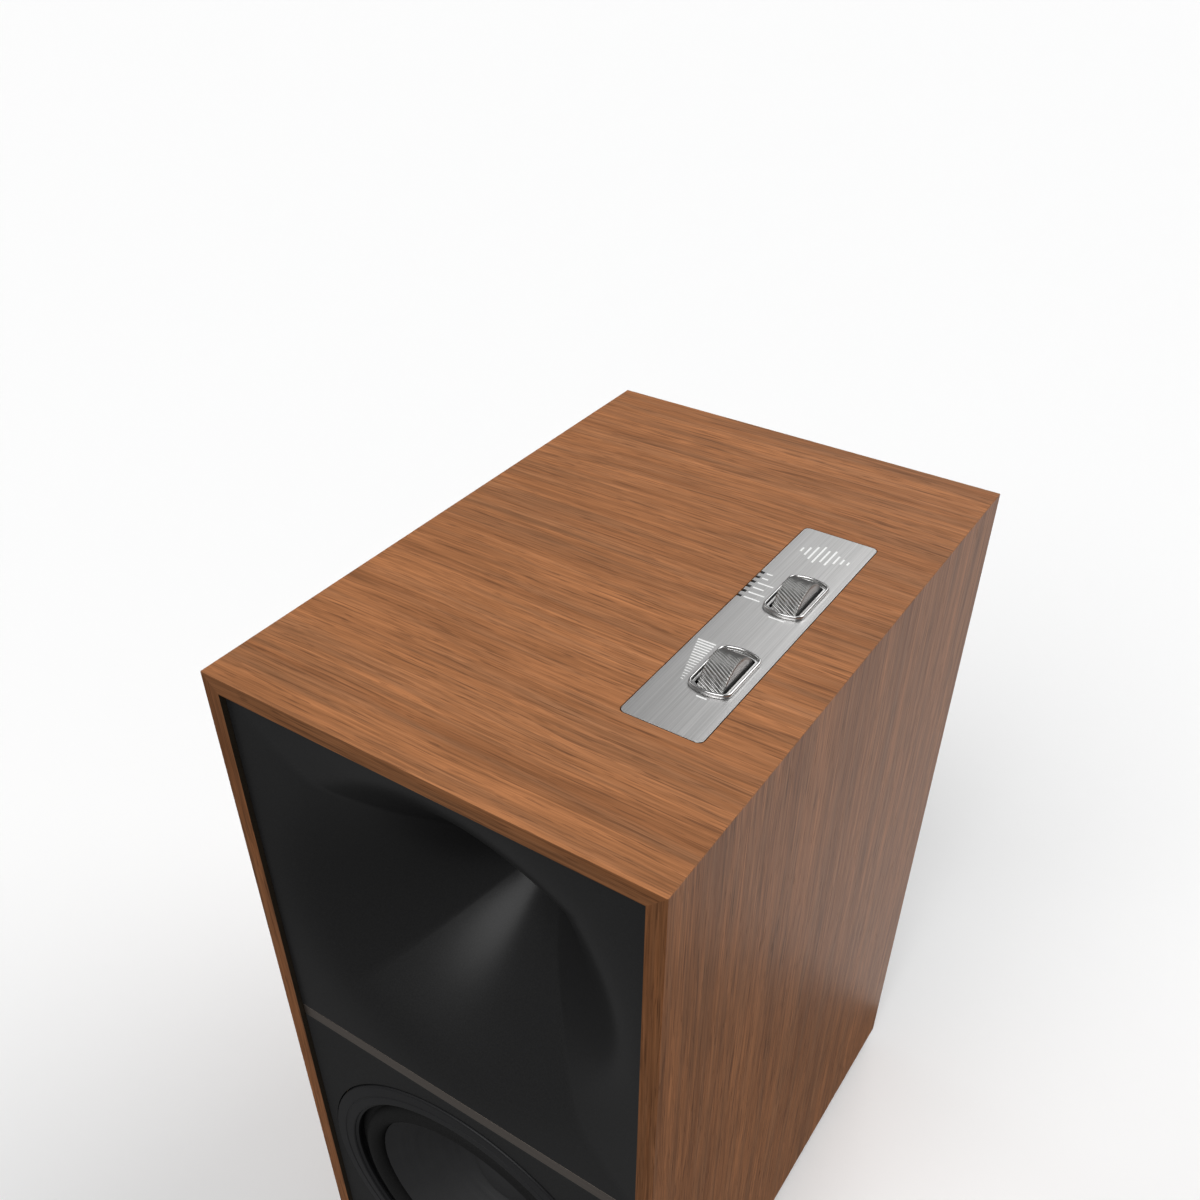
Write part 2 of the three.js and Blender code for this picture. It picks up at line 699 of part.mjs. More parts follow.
// ---------------------------------------------------------------- port
function buildPort() {
  const mouth = REAR_FACE + PAN_LIP;
  const start = mouth - PORT_LENGTH;
  const wall = 3;
  const flare = (size, from, sign) =>
    Array.from({ length: 4 }, (_, i) => {
      const angle = (Math.PI / 2) * (i / 3);
      return [
        PORT_RADIUS + size * (1 - Math.cos(angle)),
        from - sign * size * (1 - Math.sin(angle)),
      ];
    });
  const profile = [
    ...flare(PORT_FLARE, mouth, 1),
    [PORT_RIM, mouth],
    [PORT_RIM, REAR_FACE],
    [PORT_SLEEVE - 0.5, REAR_FACE],
    [PORT_SLEEVE - 0.5, REAR_INSIDE + 3],
    [PORT_RADIUS + wall, REAR_INSIDE - 4],
    [PORT_RADIUS + wall, start + 8],
    [PORT_RADIUS + 6 + wall, start],
  ];
  const inner = flare(6, start, -1).reverse();
  profile.push(...inner, profile[0]);
  add("port_tube", PLASTIC, turned(profile, [0, 0, PORT_Z], 32));
}

// ---------------------------------------------------------------- controls in the top
// A geometry turned about +Y, laid along +X instead.
const alongX = (geometry, [x, y, z]) => geometry.rotateZ(-Math.PI / 2).translate(x, y, z);

function buildWheel(name, y) {
  const half = WHEEL_WIDTH / 2;
  const outline = bowedOutline(...BEZEL_SIZE, BEZEL_BOW);
  const inner = bowedOutline(BEZEL_SIZE[0] - 2 * BEZEL_RIDGE, BEZEL_SIZE[1] - 1.6, BEZEL_BOW);
  const hole = bowedOutline(SLOT_WIDTH, SLOT_LENGTH, BEZEL_BOW);
  const bezel = cut(
    raised(outline, TOP, TOP + BEZEL_HEIGHT),
    raised(inner, TOP + BEZEL_STEP_HEIGHT, TOP + BEZEL_HEIGHT + 1),
    raised(hole, TOP - 1, TOP + BEZEL_HEIGHT + 1),
  );
  add(name + "_bezel", CHROME, bezel.translate(WHEEL_X, y, 0));

  // The wheel and its shaft turn together; the shaft's left end is in the encoder.
  const [chamfer, shaft] = [0.6, SHAFT_RADIUS];
  const profile = [
    [0, -half - 8.5],
    [shaft, -half - 8.5],
    [shaft, -half],
    [WHEEL_RADIUS - chamfer, -half],
    [WHEEL_RADIUS, -half + chamfer],
    [WHEEL_RADIUS, half - chamfer],
    [WHEEL_RADIUS - chamfer, half],
    [shaft, half],
    [shaft, half + 4],
    [0, half + 4],
  ];
  const wheel = alongX(turned(profile, [0, 0, 0], 30), [WHEEL_X, y, WHEEL_Z]);
  add(name + "_wheel", DARK_METAL, wheel);

  const encoderFace = WHEEL_X - half - 5;
  const reach = ENCODER[1] / 2;
  const encoder = cut(
    block(
      [encoderFace - ENCODER[0], y - reach, WHEEL_Z - reach],
      [encoderFace, y + reach, WHEEL_Z + 4],
    ),
    shaftHole(encoderFace - 4, encoderFace + 1, y),
  );
  add(name + "_encoder", PLASTIC, encoder);
}

const shaftHole = (from, to, y) =>
  alongX(rod(SHAFT_RADIUS + CLEARANCE, from, to, [0, 0, 0], 20), [0, y, WHEEL_Z]);

// The places of the six lights, from front to back.
const ledPlaces = () =>
  Array.from({ length: LED_COUNT }, (_, i) => LED_Y + (i - (LED_COUNT - 1) / 2) * LED_PITCH);

function buildControls() {
  const plateEdge = PLATE_X - PLATE_WIDTH / 2;
  const under = TOP - PLATE_THICKNESS;
  const slot = bowedOutline(...PLATE_SLOT, BEZEL_BOW);
  const openings = [SOURCE_Y, VOLUME_Y].map((y) =>
    raised(slot, under - 1, TOP + 1).translate(WHEEL_X, y, 0),
  );
  const [slotLength, slotWidth] = LED_SLOT;
  const notches = ledPlaces().map((y) =>
    block(
      [plateEdge - 1, y - slotWidth / 2, under - 1],
      [plateEdge + slotLength, y + slotWidth / 2, TOP + 1],
    ),
  );
  const plate = raised(roundedOutline(PLATE_WIDTH, PLATE_LENGTH, PLATE_CORNER), under, TOP);
  add(
    "control_plate",
    BRUSHED,
    cut(plate.translate(PLATE_X, PLATE_Y, 0), ...openings, ...notches),
  );

  const fingers = ledPlaces().map((y) =>
    block(
      [plateEdge + 0.2, y - slotWidth / 2 + 0.15, under - 2],
      [plateEdge + slotLength - 0.2, y + slotWidth / 2 - 0.15, TOP - 0.4],
    ),
  );
  const reach = (LED_COUNT * LED_PITCH) / 2;
  const bar = block(
    [plateEdge + 0.2, LED_Y - reach, under - 6],
    [plateEdge + slotLength - 0.2, LED_Y + reach, under],
  );
  add("led_light_guide", PLASTIC, join(bar, ...fingers));

  for (const [name, y] of [["source", SOURCE_Y], ["volume", VOLUME_Y]]) {
    buildWheel(name, y);
  }

  // The tray under the plate carries the encoders and, on its cheeks, the shafts' free ends.
  const [left, right] = [plateEdge + 3, PLATE_X + PLATE_WIDTH / 2 - 0.8];
  const reachY = PLATE_LENGTH / 2 - 1.5;
  const floor = TOP - TRAY_DEPTH;
  const shell = cut(
    block([left, PLATE_Y - reachY, floor], [right, PLATE_Y + reachY, under]),
    block(
      [left + TRAY_WALL, PLATE_Y - reachY + TRAY_WALL, floor + TRAY_WALL],
      [right - TRAY_WALL, PLATE_Y + reachY - TRAY_WALL, under + 1],
    ),
  );
  const cheekX = WHEEL_X + WHEEL_WIDTH / 2 + 1.5;
  const cheeks = [SOURCE_Y, VOLUME_Y].map((y) =>
    cut(
      block([cheekX, y - 5, floor + 1], [cheekX + 2, y + 5, WHEEL_Z + 4]),
      shaftHole(cheekX - 1, cheekX + 3, y),
    ),
  );
  add("control_tray", PLASTIC, join(shell, ...cheeks));
  add(
    "control_board",
    BOARD_GREEN,
    block([left, PLATE_Y - 60, floor - 2.5], [right, PLATE_Y + 60, floor - 0.9]),
  );
}

// ---------------------------------------------------------------- amplifier in the back
// A socket's outline of a given size, as a block that runs through the pan's floor.
const through = ([x, z], [width, height], from, to) =>
  block([x - width / 2, from, z - height / 2], [x + width / 2, to, z + height / 2]);

function buildAmplifier() {
  const [w, h] = [PAN_WIDTH / 2, PAN_HEIGHT / 2];
  const lip = REAR_FACE + PAN_LIP;
  const [bodyW, bodyH] = [w - PAN_RIM - CLEARANCE, h - PAN_RIM - CLEARANCE];
  const room = [bodyW - PAN_WALL, bodyH - PAN_WALL];
  const fit = 2 * CLEARANCE;
  const holes = [
    through(INLET_AT, [INLET_BODY[0] + fit, INLET_BODY[1] + fit], PAN_BACK - 1, PAN_FLOOR + 1),
    through(ROCKER_AT, [ROCKER_BODY[0] + fit, ROCKER_BODY[1] + fit], PAN_BACK - 1, PAN_FLOOR + 1),
    through(SLIDER_AT, SLIDER_SLOT, PAN_BACK - 1, PAN_FLOOR + 1),
    through(HDMI_AT, [HDMI_BODY[0] + fit, HDMI_BODY[1] + fit], PAN_BACK - 1, PAN_FLOOR + 1),
    through(OPTICAL_AT, [OPTICAL_SIZE + fit, OPTICAL_SIZE + fit], PAN_BACK - 1, PAN_FLOOR + 1),
    through(USB_AT, [USB_BODY[0] + fit, USB_BODY[1] + fit], PAN_BACK - 1, PAN_FLOOR + 1),
    ...JACKS.map(([, at]) => holeAt(at, JACK_RADIUS + 1 + CLEARANCE)),
    holeAt(LINK_AT, LINK_RADIUS - 1 + CLEARANCE),
    holeAt(GROUND_AT, 2 + CLEARANCE),
    holeAt(BUTTON_AT, BUTTON_RADIUS + CLEARANCE),
  ];
  const pan = join(
    block([-w, REAR_FACE, PAN_Z - h], [w, lip, PAN_Z + h]),
    block([-bodyW, PAN_BACK, PAN_Z - bodyH], [bodyW, REAR_FACE + 1, PAN_Z + bodyH]),
  );
  const hollow = block(
    [-room[0], PAN_FLOOR, PAN_Z - room[1]],
    [room[0], lip + 1, PAN_Z + room[1]],
  );
  add("amp_panel", PANEL_BLACK, cut(pan, hollow, ...holes));

  buildMains();
  buildSockets();

  // The board stands in front of the pan, with four capacitors and a ring transformer on it.
  const boardY = PAN_BACK - BOARD_OFFSET;
  const [boardLow, boardHigh] = [PAN_Z - 108, PAN_Z + 44];
  const capacitors = [0, 1, 2, 3].map((i) => {
    const [column, row] = [i % 2, Math.floor(i / 2)];
    const at = [20 + 28 * column, 0, boardLow + 30 + 30 * row];
    return rod(CAPACITOR_RADIUS, boardY - CAPACITOR_LENGTH, boardY + 0.5, at, 20);
  });
  add(
    "amp_board",
    BOARD_GREEN,
    join(block([-80, boardY, boardLow], [80, boardY + 1.6, boardHigh]), ...capacitors),
  );
  const [coreHole, coreRadius, coreDepth] = [12, 38, 34];
  add(
    "transformer",
    COPPER,
    ring(coreHole, coreRadius, boardY - coreDepth, boardY - CLEARANCE, [-36, 0, boardLow + 50], 24),
  );

  const [sinkLow, sinkHigh, base] = [PAN_Z + 76, PAN_Z + 106, PAN_BACK - CLEARANCE];
  const pitch = (SINK_WIDTH - SINK_FIN) / (SINK_FINS - 1);
  const fins = Array.from({ length: SINK_FINS }, (_, i) => {
    const x = -SINK_WIDTH / 2 + i * pitch;
    return block([x, base - 30, sinkLow], [x + SINK_FIN, base - 4, sinkHigh]);
  });
  const sink = block([-SINK_WIDTH / 2, base - 5, sinkLow], [SINK_WIDTH / 2, base, sinkHigh]);
  add("heatsink", ALUMINIUM, join(sink, ...fins));
}

const holeAt = ([x, z], radius) => rod(radius, PAN_BACK - 1, PAN_FLOOR + 1, [x, 0, z], 16);

function buildMains() {
  const face = PAN_FLOOR;
  const inlet = cut(
    join(
      through(INLET_AT, INLET_BODY, face - 22, face + 1),
      through(INLET_AT, [INLET_BODY[0] + 6, INLET_BODY[1] + 6], face, face + 2.5),
    ),
    through(INLET_AT, INLET_SOCKET, face - INLET_SOCKET_DEPTH, face + 3),
  );
  add("mains_inlet", PLASTIC, inlet);

  const frame = cut(
    join(
      through(ROCKER_AT, ROCKER_BODY, face - 16, face + 1),
      through(ROCKER_AT, [ROCKER_BODY[0] + 4, ROCKER_BODY[1] + 4], face, face + 2),
    ),
    through(ROCKER_AT, [ROCKER[0] + 2 * CLEARANCE, ROCKER[1] + 2], face - 13, face + 3),
  );
  add("rocker_frame", PLASTIC, frame);

  // The rocker rests tilted, with its upper end in: a shallow V that turns about its middle.
  const [half, height] = [ROCKER[0] / 2, ROCKER[1] / 2];
  const side = new THREE.Shape();
  side.moveTo(-height, -6);
  side.lineTo(height, -6);
  side.lineTo(height, 3.6);
  side.quadraticCurveTo(0, 1.2, -height, 3.6);
  side.closePath();
  const rocker = new THREE.ExtrudeGeometry(side, { depth: 2 * half, bevelEnabled: false });
  rocker.translate(0, 0, -half).rotateY(Math.PI / 2);
  rocker.rotateX(THREE.MathUtils.degToRad(ROCKER_TILT));
  rocker.translate(ROCKER_AT[0], face + ROCKER_PIVOT, ROCKER_AT[1]);
  add("power_rocker", PLASTIC, outward(rocker));
}

function buildSockets() {
  const face = PAN_FLOOR;
  for (const [name, [x, z]] of JACKS) {
    const jack = turned(
      [
        [1.7, face - 10],
        [JACK_RADIUS + 1, face - 10],
        [JACK_RADIUS + 1, face],
        [JACK_RADIUS + 2.4, face],
        [JACK_RADIUS + 2.4, face + 1.6],
        [JACK_RADIUS, face + 1.6],
        [JACK_RADIUS, face + 9],
        [1.7, face + 9],
        [1.7, face - 10],
      ],
      [x, 0, z],
      16,
    );
    add(name, GOLD, jack);
  }

  // The slide switch's knob rests at the low end of its slot, on a wider foot behind the panel.
  const lowered = [SLIDER_AT[0], SLIDER_AT[1] - SLIDER_TRAVEL];
  const knob = join(
    through(lowered, [4.6, 4.6], PAN_BACK - 2, face + 3),
    through(lowered, [9, 20], PAN_BACK - 4, PAN_BACK - CLEARANCE),
  );
  add("input_switch_slider", PLASTIC, knob);

  const hdmi = cut(
    through(HDMI_AT, HDMI_BODY, face - 12, face + 2),
    through(HDMI_AT, [HDMI_BODY[0] - 1.2, HDMI_BODY[1] - 1.2], face - 9, face + 3),
  );
  add("hdmi_socket", STEEL, hdmi);
  add(
    "optical_socket",
    PLASTIC,
    through(OPTICAL_AT, [OPTICAL_SIZE, OPTICAL_SIZE], face - 12, face + 2),
  );
  const usb = cut(
    through(USB_AT, USB_BODY, face - 12, face + 2),
    through(USB_AT, USB_SOCKET, face - 9, face + 3),
  );
  add("usb_socket", STEEL, usb);
  const link = turned(
    [
      [0, face - 10],
      [LINK_RADIUS - 1, face - 10],
      [LINK_RADIUS - 1, face],
      [LINK_RADIUS + 2, face],
      [LINK_RADIUS + 2, face + 2],
      [LINK_RADIUS, face + 2],
      [LINK_RADIUS, face + 8],
      [LINK_RADIUS - 1.6, face + 8],
      [LINK_RADIUS - 1.6, face - 2],
      [0, face - 2],
    ],
    [LINK_AT[0], 0, LINK_AT[1]],
    20,
  );
  add("link_socket", PLASTIC, link);

  const post = [GROUND_AT[0], 0, GROUND_AT[1]];
  const stud = turned(
    [
      [0, PAN_BACK - 6],
      [4.5, PAN_BACK - 6],
      [4.5, PAN_BACK - CLEARANCE],
      [2, PAN_BACK - CLEARANCE],
      [2, face + 13],
      [0, face + 13],
    ],
    post,
    16,
  );
  add("ground_post", STEEL, stud);
  add("ground_nut", GOLD, ring(2.3, 5.5, face + 2, face + 9, post, 18));

  const button = turned(
    [
      [0, PAN_BACK - 4],
      [BUTTON_RADIUS + 1.5, PAN_BACK - 4],
      [BUTTON_RADIUS + 1.5, PAN_BACK - 2],
      [BUTTON_RADIUS, PAN_BACK - 2],
      [BUTTON_RADIUS, face + 1.6],
      [0, face + 1.6],
    ],
    [BUTTON_AT[0], 0, BUTTON_AT[1]],
    16,
  );
  add("pairing_button", PLASTIC, button);
}

buildCabinet();
buildHorn();
buildFront();
buildWoofer();
buildPort();
buildControls();
buildAmplifier();

export default speaker;
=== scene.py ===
import json
import math

import bmesh
import bpy
from mathutils import Matrix, Vector


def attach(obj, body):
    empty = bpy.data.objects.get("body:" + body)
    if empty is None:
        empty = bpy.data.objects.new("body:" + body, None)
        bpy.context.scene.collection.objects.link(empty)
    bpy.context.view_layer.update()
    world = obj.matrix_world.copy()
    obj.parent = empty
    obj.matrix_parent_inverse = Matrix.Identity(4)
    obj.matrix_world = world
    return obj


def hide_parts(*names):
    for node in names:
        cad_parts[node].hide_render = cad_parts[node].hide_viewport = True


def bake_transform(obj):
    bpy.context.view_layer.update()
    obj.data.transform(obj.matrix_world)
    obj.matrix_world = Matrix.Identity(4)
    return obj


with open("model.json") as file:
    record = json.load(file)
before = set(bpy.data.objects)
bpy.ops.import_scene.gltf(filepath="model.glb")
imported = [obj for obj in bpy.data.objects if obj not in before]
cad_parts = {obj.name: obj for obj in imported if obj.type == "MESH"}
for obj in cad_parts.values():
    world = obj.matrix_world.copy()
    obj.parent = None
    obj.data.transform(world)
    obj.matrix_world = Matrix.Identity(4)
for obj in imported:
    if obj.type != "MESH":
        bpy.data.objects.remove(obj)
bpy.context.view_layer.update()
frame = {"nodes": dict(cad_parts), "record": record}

nodes = frame["nodes"]
MM = 0.001

# ---------------- places, in mm
WIDTH, DEPTH = 237.0, 345.0
TOP, BASE = 482.5, 9.5
WALL, EDGE, REBATE = 15.0, 9.0, 23.0
FRONT, BACK = -DEPTH / 2, DEPTH / 2
OPENING = WIDTH / 2 - EDGE
LOW, HIGH = BASE + EDGE, TOP - EDGE
FACE, BOARD = FRONT + 2.8, FRONT + 7.5
STRIP_Z, STRIP_TOP = 244.5, 253.2
HORN_Z = (STRIP_TOP + HIGH) / 2
HORN_HALF = (OPENING - 0.3, (HIGH - STRIP_TOP) / 2 - 0.3)
HORN_DEPTH, THROAT = 85.0, 12.7
WOOFER_Z = (LOW + STRIP_Z) / 2
PORT_Z = 421.0
REAR = BACK - 2.5
PLATE = (39.7, 177.5)
PLATE_AT = (67.05, -5.65)
WHEEL_X, WHEEL_R, WHEEL_W = 72.0, 15.3, 13.0
WHEEL_Z = TOP + 8.4 - WHEEL_R
SOURCE_Y, VOLUME_Y = 21.4, -47.5
LAMPS_Y, LAMP_STEP = 21, 4.68
WOOFER_HOLE_R, SURROUND_R, CONE_R = 104.1, 84, 71.7
PORT_R = 30
PAN_Z, PAN = 170.0, (190.0, 240.0)
PAN_FLOOR = REAR - 15
# Fittings in the recessed amplifier panel, as (x, z).
JACK_X = 34
JACKS_Z = {"line_jack_left": 238, "line_jack_right": 214, "sub_jack": 172}
INLET_AT, ROCKER_AT = (-52, 82), (-52, 122)
HDMI_AT, OPTICAL_AT, USB_AT = (8, 128), (34, 128), (60, 128)
SWITCH_AT, GROUND_AT, PAIRING_AT, LINK_AT = (62, 226), (6, 226), (-24, 226), (-56, 178)

# ---------------- camera in mm and degrees, lights, and the stage in metres
CAMERA_AT = (253.347, -418.443, 796.699)
CAMERA_TURN, CAMERA_TIP = 33.577, 39.044
LENS, SENSOR, SHIFT = 35.7465, 36, (-0.0002, 0.08717)
# Name, azimuth and height in degrees, and strength of each soft light.
SOFTBOXES = (
    ("softbox_front", 270, 45, 1.72),
    ("softbox_right", 45, 45, 1.3),
    ("softbox_back", 90, 42, 0.65),
    ("softbox_left", 190, 32, 0.32),
)
SOFTBOX_ANGLE = 40
AMBIENT, BACKDROP = 0.18, 0.95
FLOOR_REACH, FLOOR_SHADE = 14, 0.93
CARD_LOW, CARD_HIGH, CARD_Z, CARD_GLOW = (0.12, 0.2), (2.2, 2.6), 0.002, 1.15

# ---------------- materials


class Look:
    """A material's node tree, built up node by node from object coordinates."""

    def __init__(self, name, color, roughness, metallic=0.0, **sockets):
        self.material = bpy.data.materials.new(name)
        self.material.use_nodes = True
        self.tree = self.material.node_tree
        self.bsdf = self.tree.nodes["Principled BSDF"]
        self.set("Base Color", (*color, 1))
        self.set("Roughness", roughness)
        self.set("Metallic", metallic)
        for socket, value in sockets.items():
            self.set(socket.replace("_", " "), value)
        self.material.diffuse_color = (*color, 1)
        self.coords = self.add("ShaderNodeTexCoord").outputs["Object"]

    def set(self, socket, value):
        if isinstance(value, bpy.types.NodeSocket):
            self.tree.links.new(value, self.bsdf.inputs[socket])
        else:
            self.bsdf.inputs[socket].default_value = value

    def add(self, kind, inputs=None, **settings):
        node = self.tree.nodes.new(kind)
        for key, value in settings.items():
            setattr(node, key, value)
        for key, value in (inputs or {}).items():
            if isinstance(value, bpy.types.NodeSocket):
                self.tree.links.new(value, node.inputs[key])
            else:
                node.inputs[key].default_value = value
        return node

    def mapped(self, scale, offset=(0, 0, 0), vector=None):
        inputs = {"Vector": vector or self.coords, "Scale": scale, "Location": offset}
        return self.add("ShaderNodeMapping", inputs).outputs["Vector"]

    def noise(self, vector, scale=1.0, detail=3.0, rough=0.5, distortion=0.0):
        inputs = {"Vector": vector, "Scale": scale, "Detail": detail}
        inputs.update({"Roughness": rough, "Distortion": distortion})
        return self.add("ShaderNodeTexNoise", inputs).outputs["Fac"]

    def ramp(self, fac, *stops):
        node = self.add("ShaderNodeValToRGB", {"Fac": fac})
        ramp = node.color_ramp
        while len(ramp.elements) < len(stops):
            ramp.elements.new(0.5)
        for element, (place, color) in zip(ramp.elements, stops):
            element.position = place
            element.color = (*color, 1) if isinstance(color, tuple) else (color,) * 3 + (1,)
        return node.outputs["Color"]

    def mix(self, fac, a, b, blend="MIX"):
        node = self.add("ShaderNodeMix", data_type="RGBA", blend_type=blend)
        for index, value in ((0, fac), (6, a), (7, b)):
            if isinstance(value, bpy.types.NodeSocket):
                self.tree.links.new(value, node.inputs[index])
            else:
                node.inputs[index].default_value = value if index == 0 else (*value, 1)
        return node.outputs[2]

    def span(self, fac, low, high):
        inputs = {"Value": fac, "To Min": low, "To Max": high}
        return self.add("ShaderNodeMapRange", inputs).outputs["Result"]

    def bump(self, height, strength, distance):
        inputs = {"Height": height, "Strength": strength, "Distance": distance * MM}
        self.set("Normal", self.add("ShaderNodeBump", inputs).outputs["Normal"])


def stretched(along, fine, coarse):
    """Noise scale: coarse along one axis and fine across it."""
    return tuple(coarse if axis == along else fine for axis in range(3))


# Noise scale across and along the grain, seed, and the darkest and lightest factor of each band.
BANDS = (
    (240, 6, 6.6, 0.92, 1.05),
    (640, 14, 2.2, 0.84, 1.12),
    (1500, 34, 8.3, 0.84, 1.12),
)


def walnut(name, along, painted_shading=1.0, gloss=0.08):
    """Open-grained walnut veneer: bands, streaks and short dark pores along one axis."""
    look = Look(name, (0.3, 0.13, 0.06), 0.5)
    wander = look.noise(look.mapped(stretched(along, 9, 5), (3.1, 1.7, 0.4)), detail=2)
    across = [0.0 if axis == along else 0.008 for axis in range(3)]
    shift = look.add("ShaderNodeVectorMath", {0: wander, 1: tuple(across)}, operation="MULTIPLY")
    moved = look.add("ShaderNodeVectorMath", {0: look.coords, 1: shift.outputs[0]}).outputs[0]

    def layer(fine, coarse, detail, rough, seed):
        vector = look.mapped(stretched(along, fine, coarse), (seed, seed * 2, seed * 3), moved)
        return look.noise(vector, detail=detail, rough=rough)

    # Every colour is scaled by one factor, which makes copies of this walnut for faces that are lit
    # differently: below 1 it paints shade, above 1 it paints light.
    def shade(red, green, blue):
        return (red * painted_shading, green * painted_shading, blue * painted_shading)

    base = look.ramp(
        layer(70, 3, 5, 0.6, 1.3),
        (0.32, shade(0.285, 0.115, 0.047)),
        (0.5, shade(0.362, 0.149, 0.061)),
        (0.68, shade(0.44, 0.181, 0.073)),
    )
    grey = look.ramp(layer(150, 6, 3, 0.6, 4.1), (0.45, 0.0), (0.72, 0.55))
    base = look.mix(grey, base, shade(0.27, 0.135, 0.07))
    for fine, coarse, seed, low, high in BANDS:
        band = look.ramp(layer(fine, coarse, 2, 0.5, seed), (0.36, low), (0.64, high))
        base = look.mix(1.0, base, band, "MULTIPLY")
    places = look.ramp(layer(26, 9, 2, 0.5, 5.4), (0.35, 0.6), (0.6, 0.9))
    streaks = look.ramp(layer(860, 25, 1, 0.5, 7.7), (0.31, 0.75), (0.39, 0.0))
    streaks = look.mix(1.0, streaks, places, "MULTIPLY")
    base = look.mix(streaks, base, shade(0.13, 0.055, 0.026))
    pores = look.ramp(layer(1400, 70, 1, 0.5, 9.9), (0.31, 0.5), (0.37, 0.0))
    base = look.mix(pores, base, shade(0.13, 0.055, 0.027))
    look.set("Base Color", base)
    look.set("Roughness", look.span(pores, 0.46, 0.62))
    look.set("Specular IOR Level", gloss)
    look.bump(look.mix(1.0, (1, 1, 1), pores, "SUBTRACT"), 0.25, 0.1)
    return look.material


def moulded(name, color, rough, grain=0.2, scale=900, **sockets):
    """Moulded plastic or rubber: a fine even texture and a cloudier roughness."""
    look = Look(name, color, rough, **sockets)
    fine = look.noise(look.coords, scale, 3, 0.6)
    cloud = look.noise(look.coords, 22, 3, 0.5)
    look.set("Roughness", look.span(cloud, rough - 0.05, rough + 0.07))
    lift = tuple(c * 1.35 + 0.002 for c in color)
    look.set("Base Color", look.mix(look.ramp(fine, (0.35, 0.0), (0.75, 1.0)), color, lift))
    look.bump(fine, grain, 0.08)
    return look.material


def brushed(name, color, along, rough=0.32, fine=2600, coarse=14, contrast=0.16, bump=0.12):
    """Metal brushed along one axis."""
    look = Look(name, color, rough, 1.0)
    lines = look.noise(look.mapped(stretched(along, fine, coarse)), detail=3, rough=0.7)
    broad = look.noise(look.mapped(stretched(along, fine / 6, coarse / 3), (2, 5, 1)), detail=2)
    both = look.mix(0.25, lines, broad)
    dark = tuple(c * (1 - contrast) for c in color)
    light = tuple(min(1, c * (1 + contrast)) for c in color)
    look.set("Base Color", look.mix(look.ramp(both, (0.36, 0.0), (0.64, 1.0)), dark, light))
    look.set("Roughness", look.span(lines, rough + 0.08, rough - 0.08))
    look.bump(lines, bump, 0.05)
    return look.material


def metal(name, color, rough, scale=400, grain=0.1, **sockets):
    """Cast or plated metal with a cloudy finish."""
    look = Look(name, color, rough, 1.0, **sockets)
    cloud = look.noise(look.coords, scale, 4, 0.6)
    look.set("Roughness", look.span(cloud, rough - 0.06, rough + 0.1))
    dark = tuple(c * 0.82 for c in color)
    look.set("Base Color", look.mix(look.noise(look.coords, scale / 9, 3), dark, color))
    look.bump(cloud, grain, 0.05)
    return look.material


def fibrous(name, color, rough, scale, grain):
    """Felt, pressed pulp or raw board: matted fibres in two sizes."""
    look = Look(name, color, rough)
    fibres = look.noise(look.coords, scale, 6, 0.75, 1.5)
    clumps = look.noise(look.coords, scale / 12, 3)
    dark, light = (tuple(c * factor for c in color) for factor in (0.6, 1.4))
    look.set("Base Color", look.mix(look.mix(0.5, fibres, clumps), dark, light))
    look.bump(fibres, grain, 0.3)
    return look.material


def board_green():
    """Solder mask with paler tracks under it."""
    look = Look("solder_mask", (0.012, 0.07, 0.032), 0.35)
    inputs = {"Vector": look.coords, "Scale": 130.0}
    cells = look.add("ShaderNodeTexVoronoi", inputs, distance="MANHATTAN")
    tracks = look.ramp(cells.outputs["Distance"], (0.4, 0.0), (0.46, 1.0))
    look.set("Base Color", look.mix(tracks, (0.011, 0.06, 0.028), (0.024, 0.12, 0.055)))
    look.bump(tracks, 0.2, 0.05)
    return look.material


def spun(name, color, rough, centre, axis, rings=900, metallic=1.0, grain=0.2):
    """Rings round an axis, as turned or pressed on a lathe."""
    look = Look(name, color, rough, metallic)
    keep = tuple(0.0 if i == axis else 1.0 for i in range(3))
    middle = tuple(c * MM for c in centre)
    about = look.add("ShaderNodeVectorMath", {0: look.coords, 1: middle}, operation="SUBTRACT")
    flat = look.add("ShaderNodeVectorMath", {0: about.outputs[0], 1: keep}, operation="MULTIPLY")
    length = look.add("ShaderNodeVectorMath", {0: flat.outputs[0]}, operation="LENGTH")
    vector = look.add("ShaderNodeCombineXYZ", {"X": length.outputs["Value"]}).outputs[0]
    lines = look.noise(vector, rings, 3, 0.6)
    dark = tuple(c * 0.8 for c in color)
    light = tuple(min(1, c * 1.15) for c in color)
    look.set("Base Color", look.mix(lines, dark, light))
    look.set("Roughness", look.span(lines, rough - 0.06, rough + 0.08))
    look.bump(lines, grain, 0.05)
    return look.material


WALNUT_X = walnut("walnut_across", 0)
# The upright sides get a copy of the walnut 1.08 times lighter: painted light.
WALNUT_Z = walnut("walnut_upright", 2, 1.08)
# The front and back end faces get copies of the walnut 0.72 times as dark: painted shade.
SHADED_EDGE_X = walnut("walnut_shaded_edge_across", 0, 0.72, 0.04)
SHADED_EDGE_Z = walnut("walnut_shaded_edge_upright", 2, 0.72, 0.04)
DULL = {"Specular_IOR_Level": 0.1}
SATIN = {"Specular_IOR_Level": 0.15}
COATED = {"Specular_IOR_Level": 0.2}
SHINY = {"Specular_IOR_Level": 0.25}
MOULDING = moulded("horn_moulding", (0.0155, 0.0155, 0.0158), 0.3, 0.02, 1400, **SATIN)
TEXTURED = moulded("fine_textured_black", (0.021, 0.021, 0.0213), 0.6, 0.35, 1500, **DULL)
PLASTIC = moulded("matt_black_plastic", (0.011, 0.011, 0.012), 0.45, 0.15, 1100, **SHINY)
GLOSS = moulded("gloss_black_plastic", (0.008, 0.008, 0.009), 0.2, 0.05, 900)
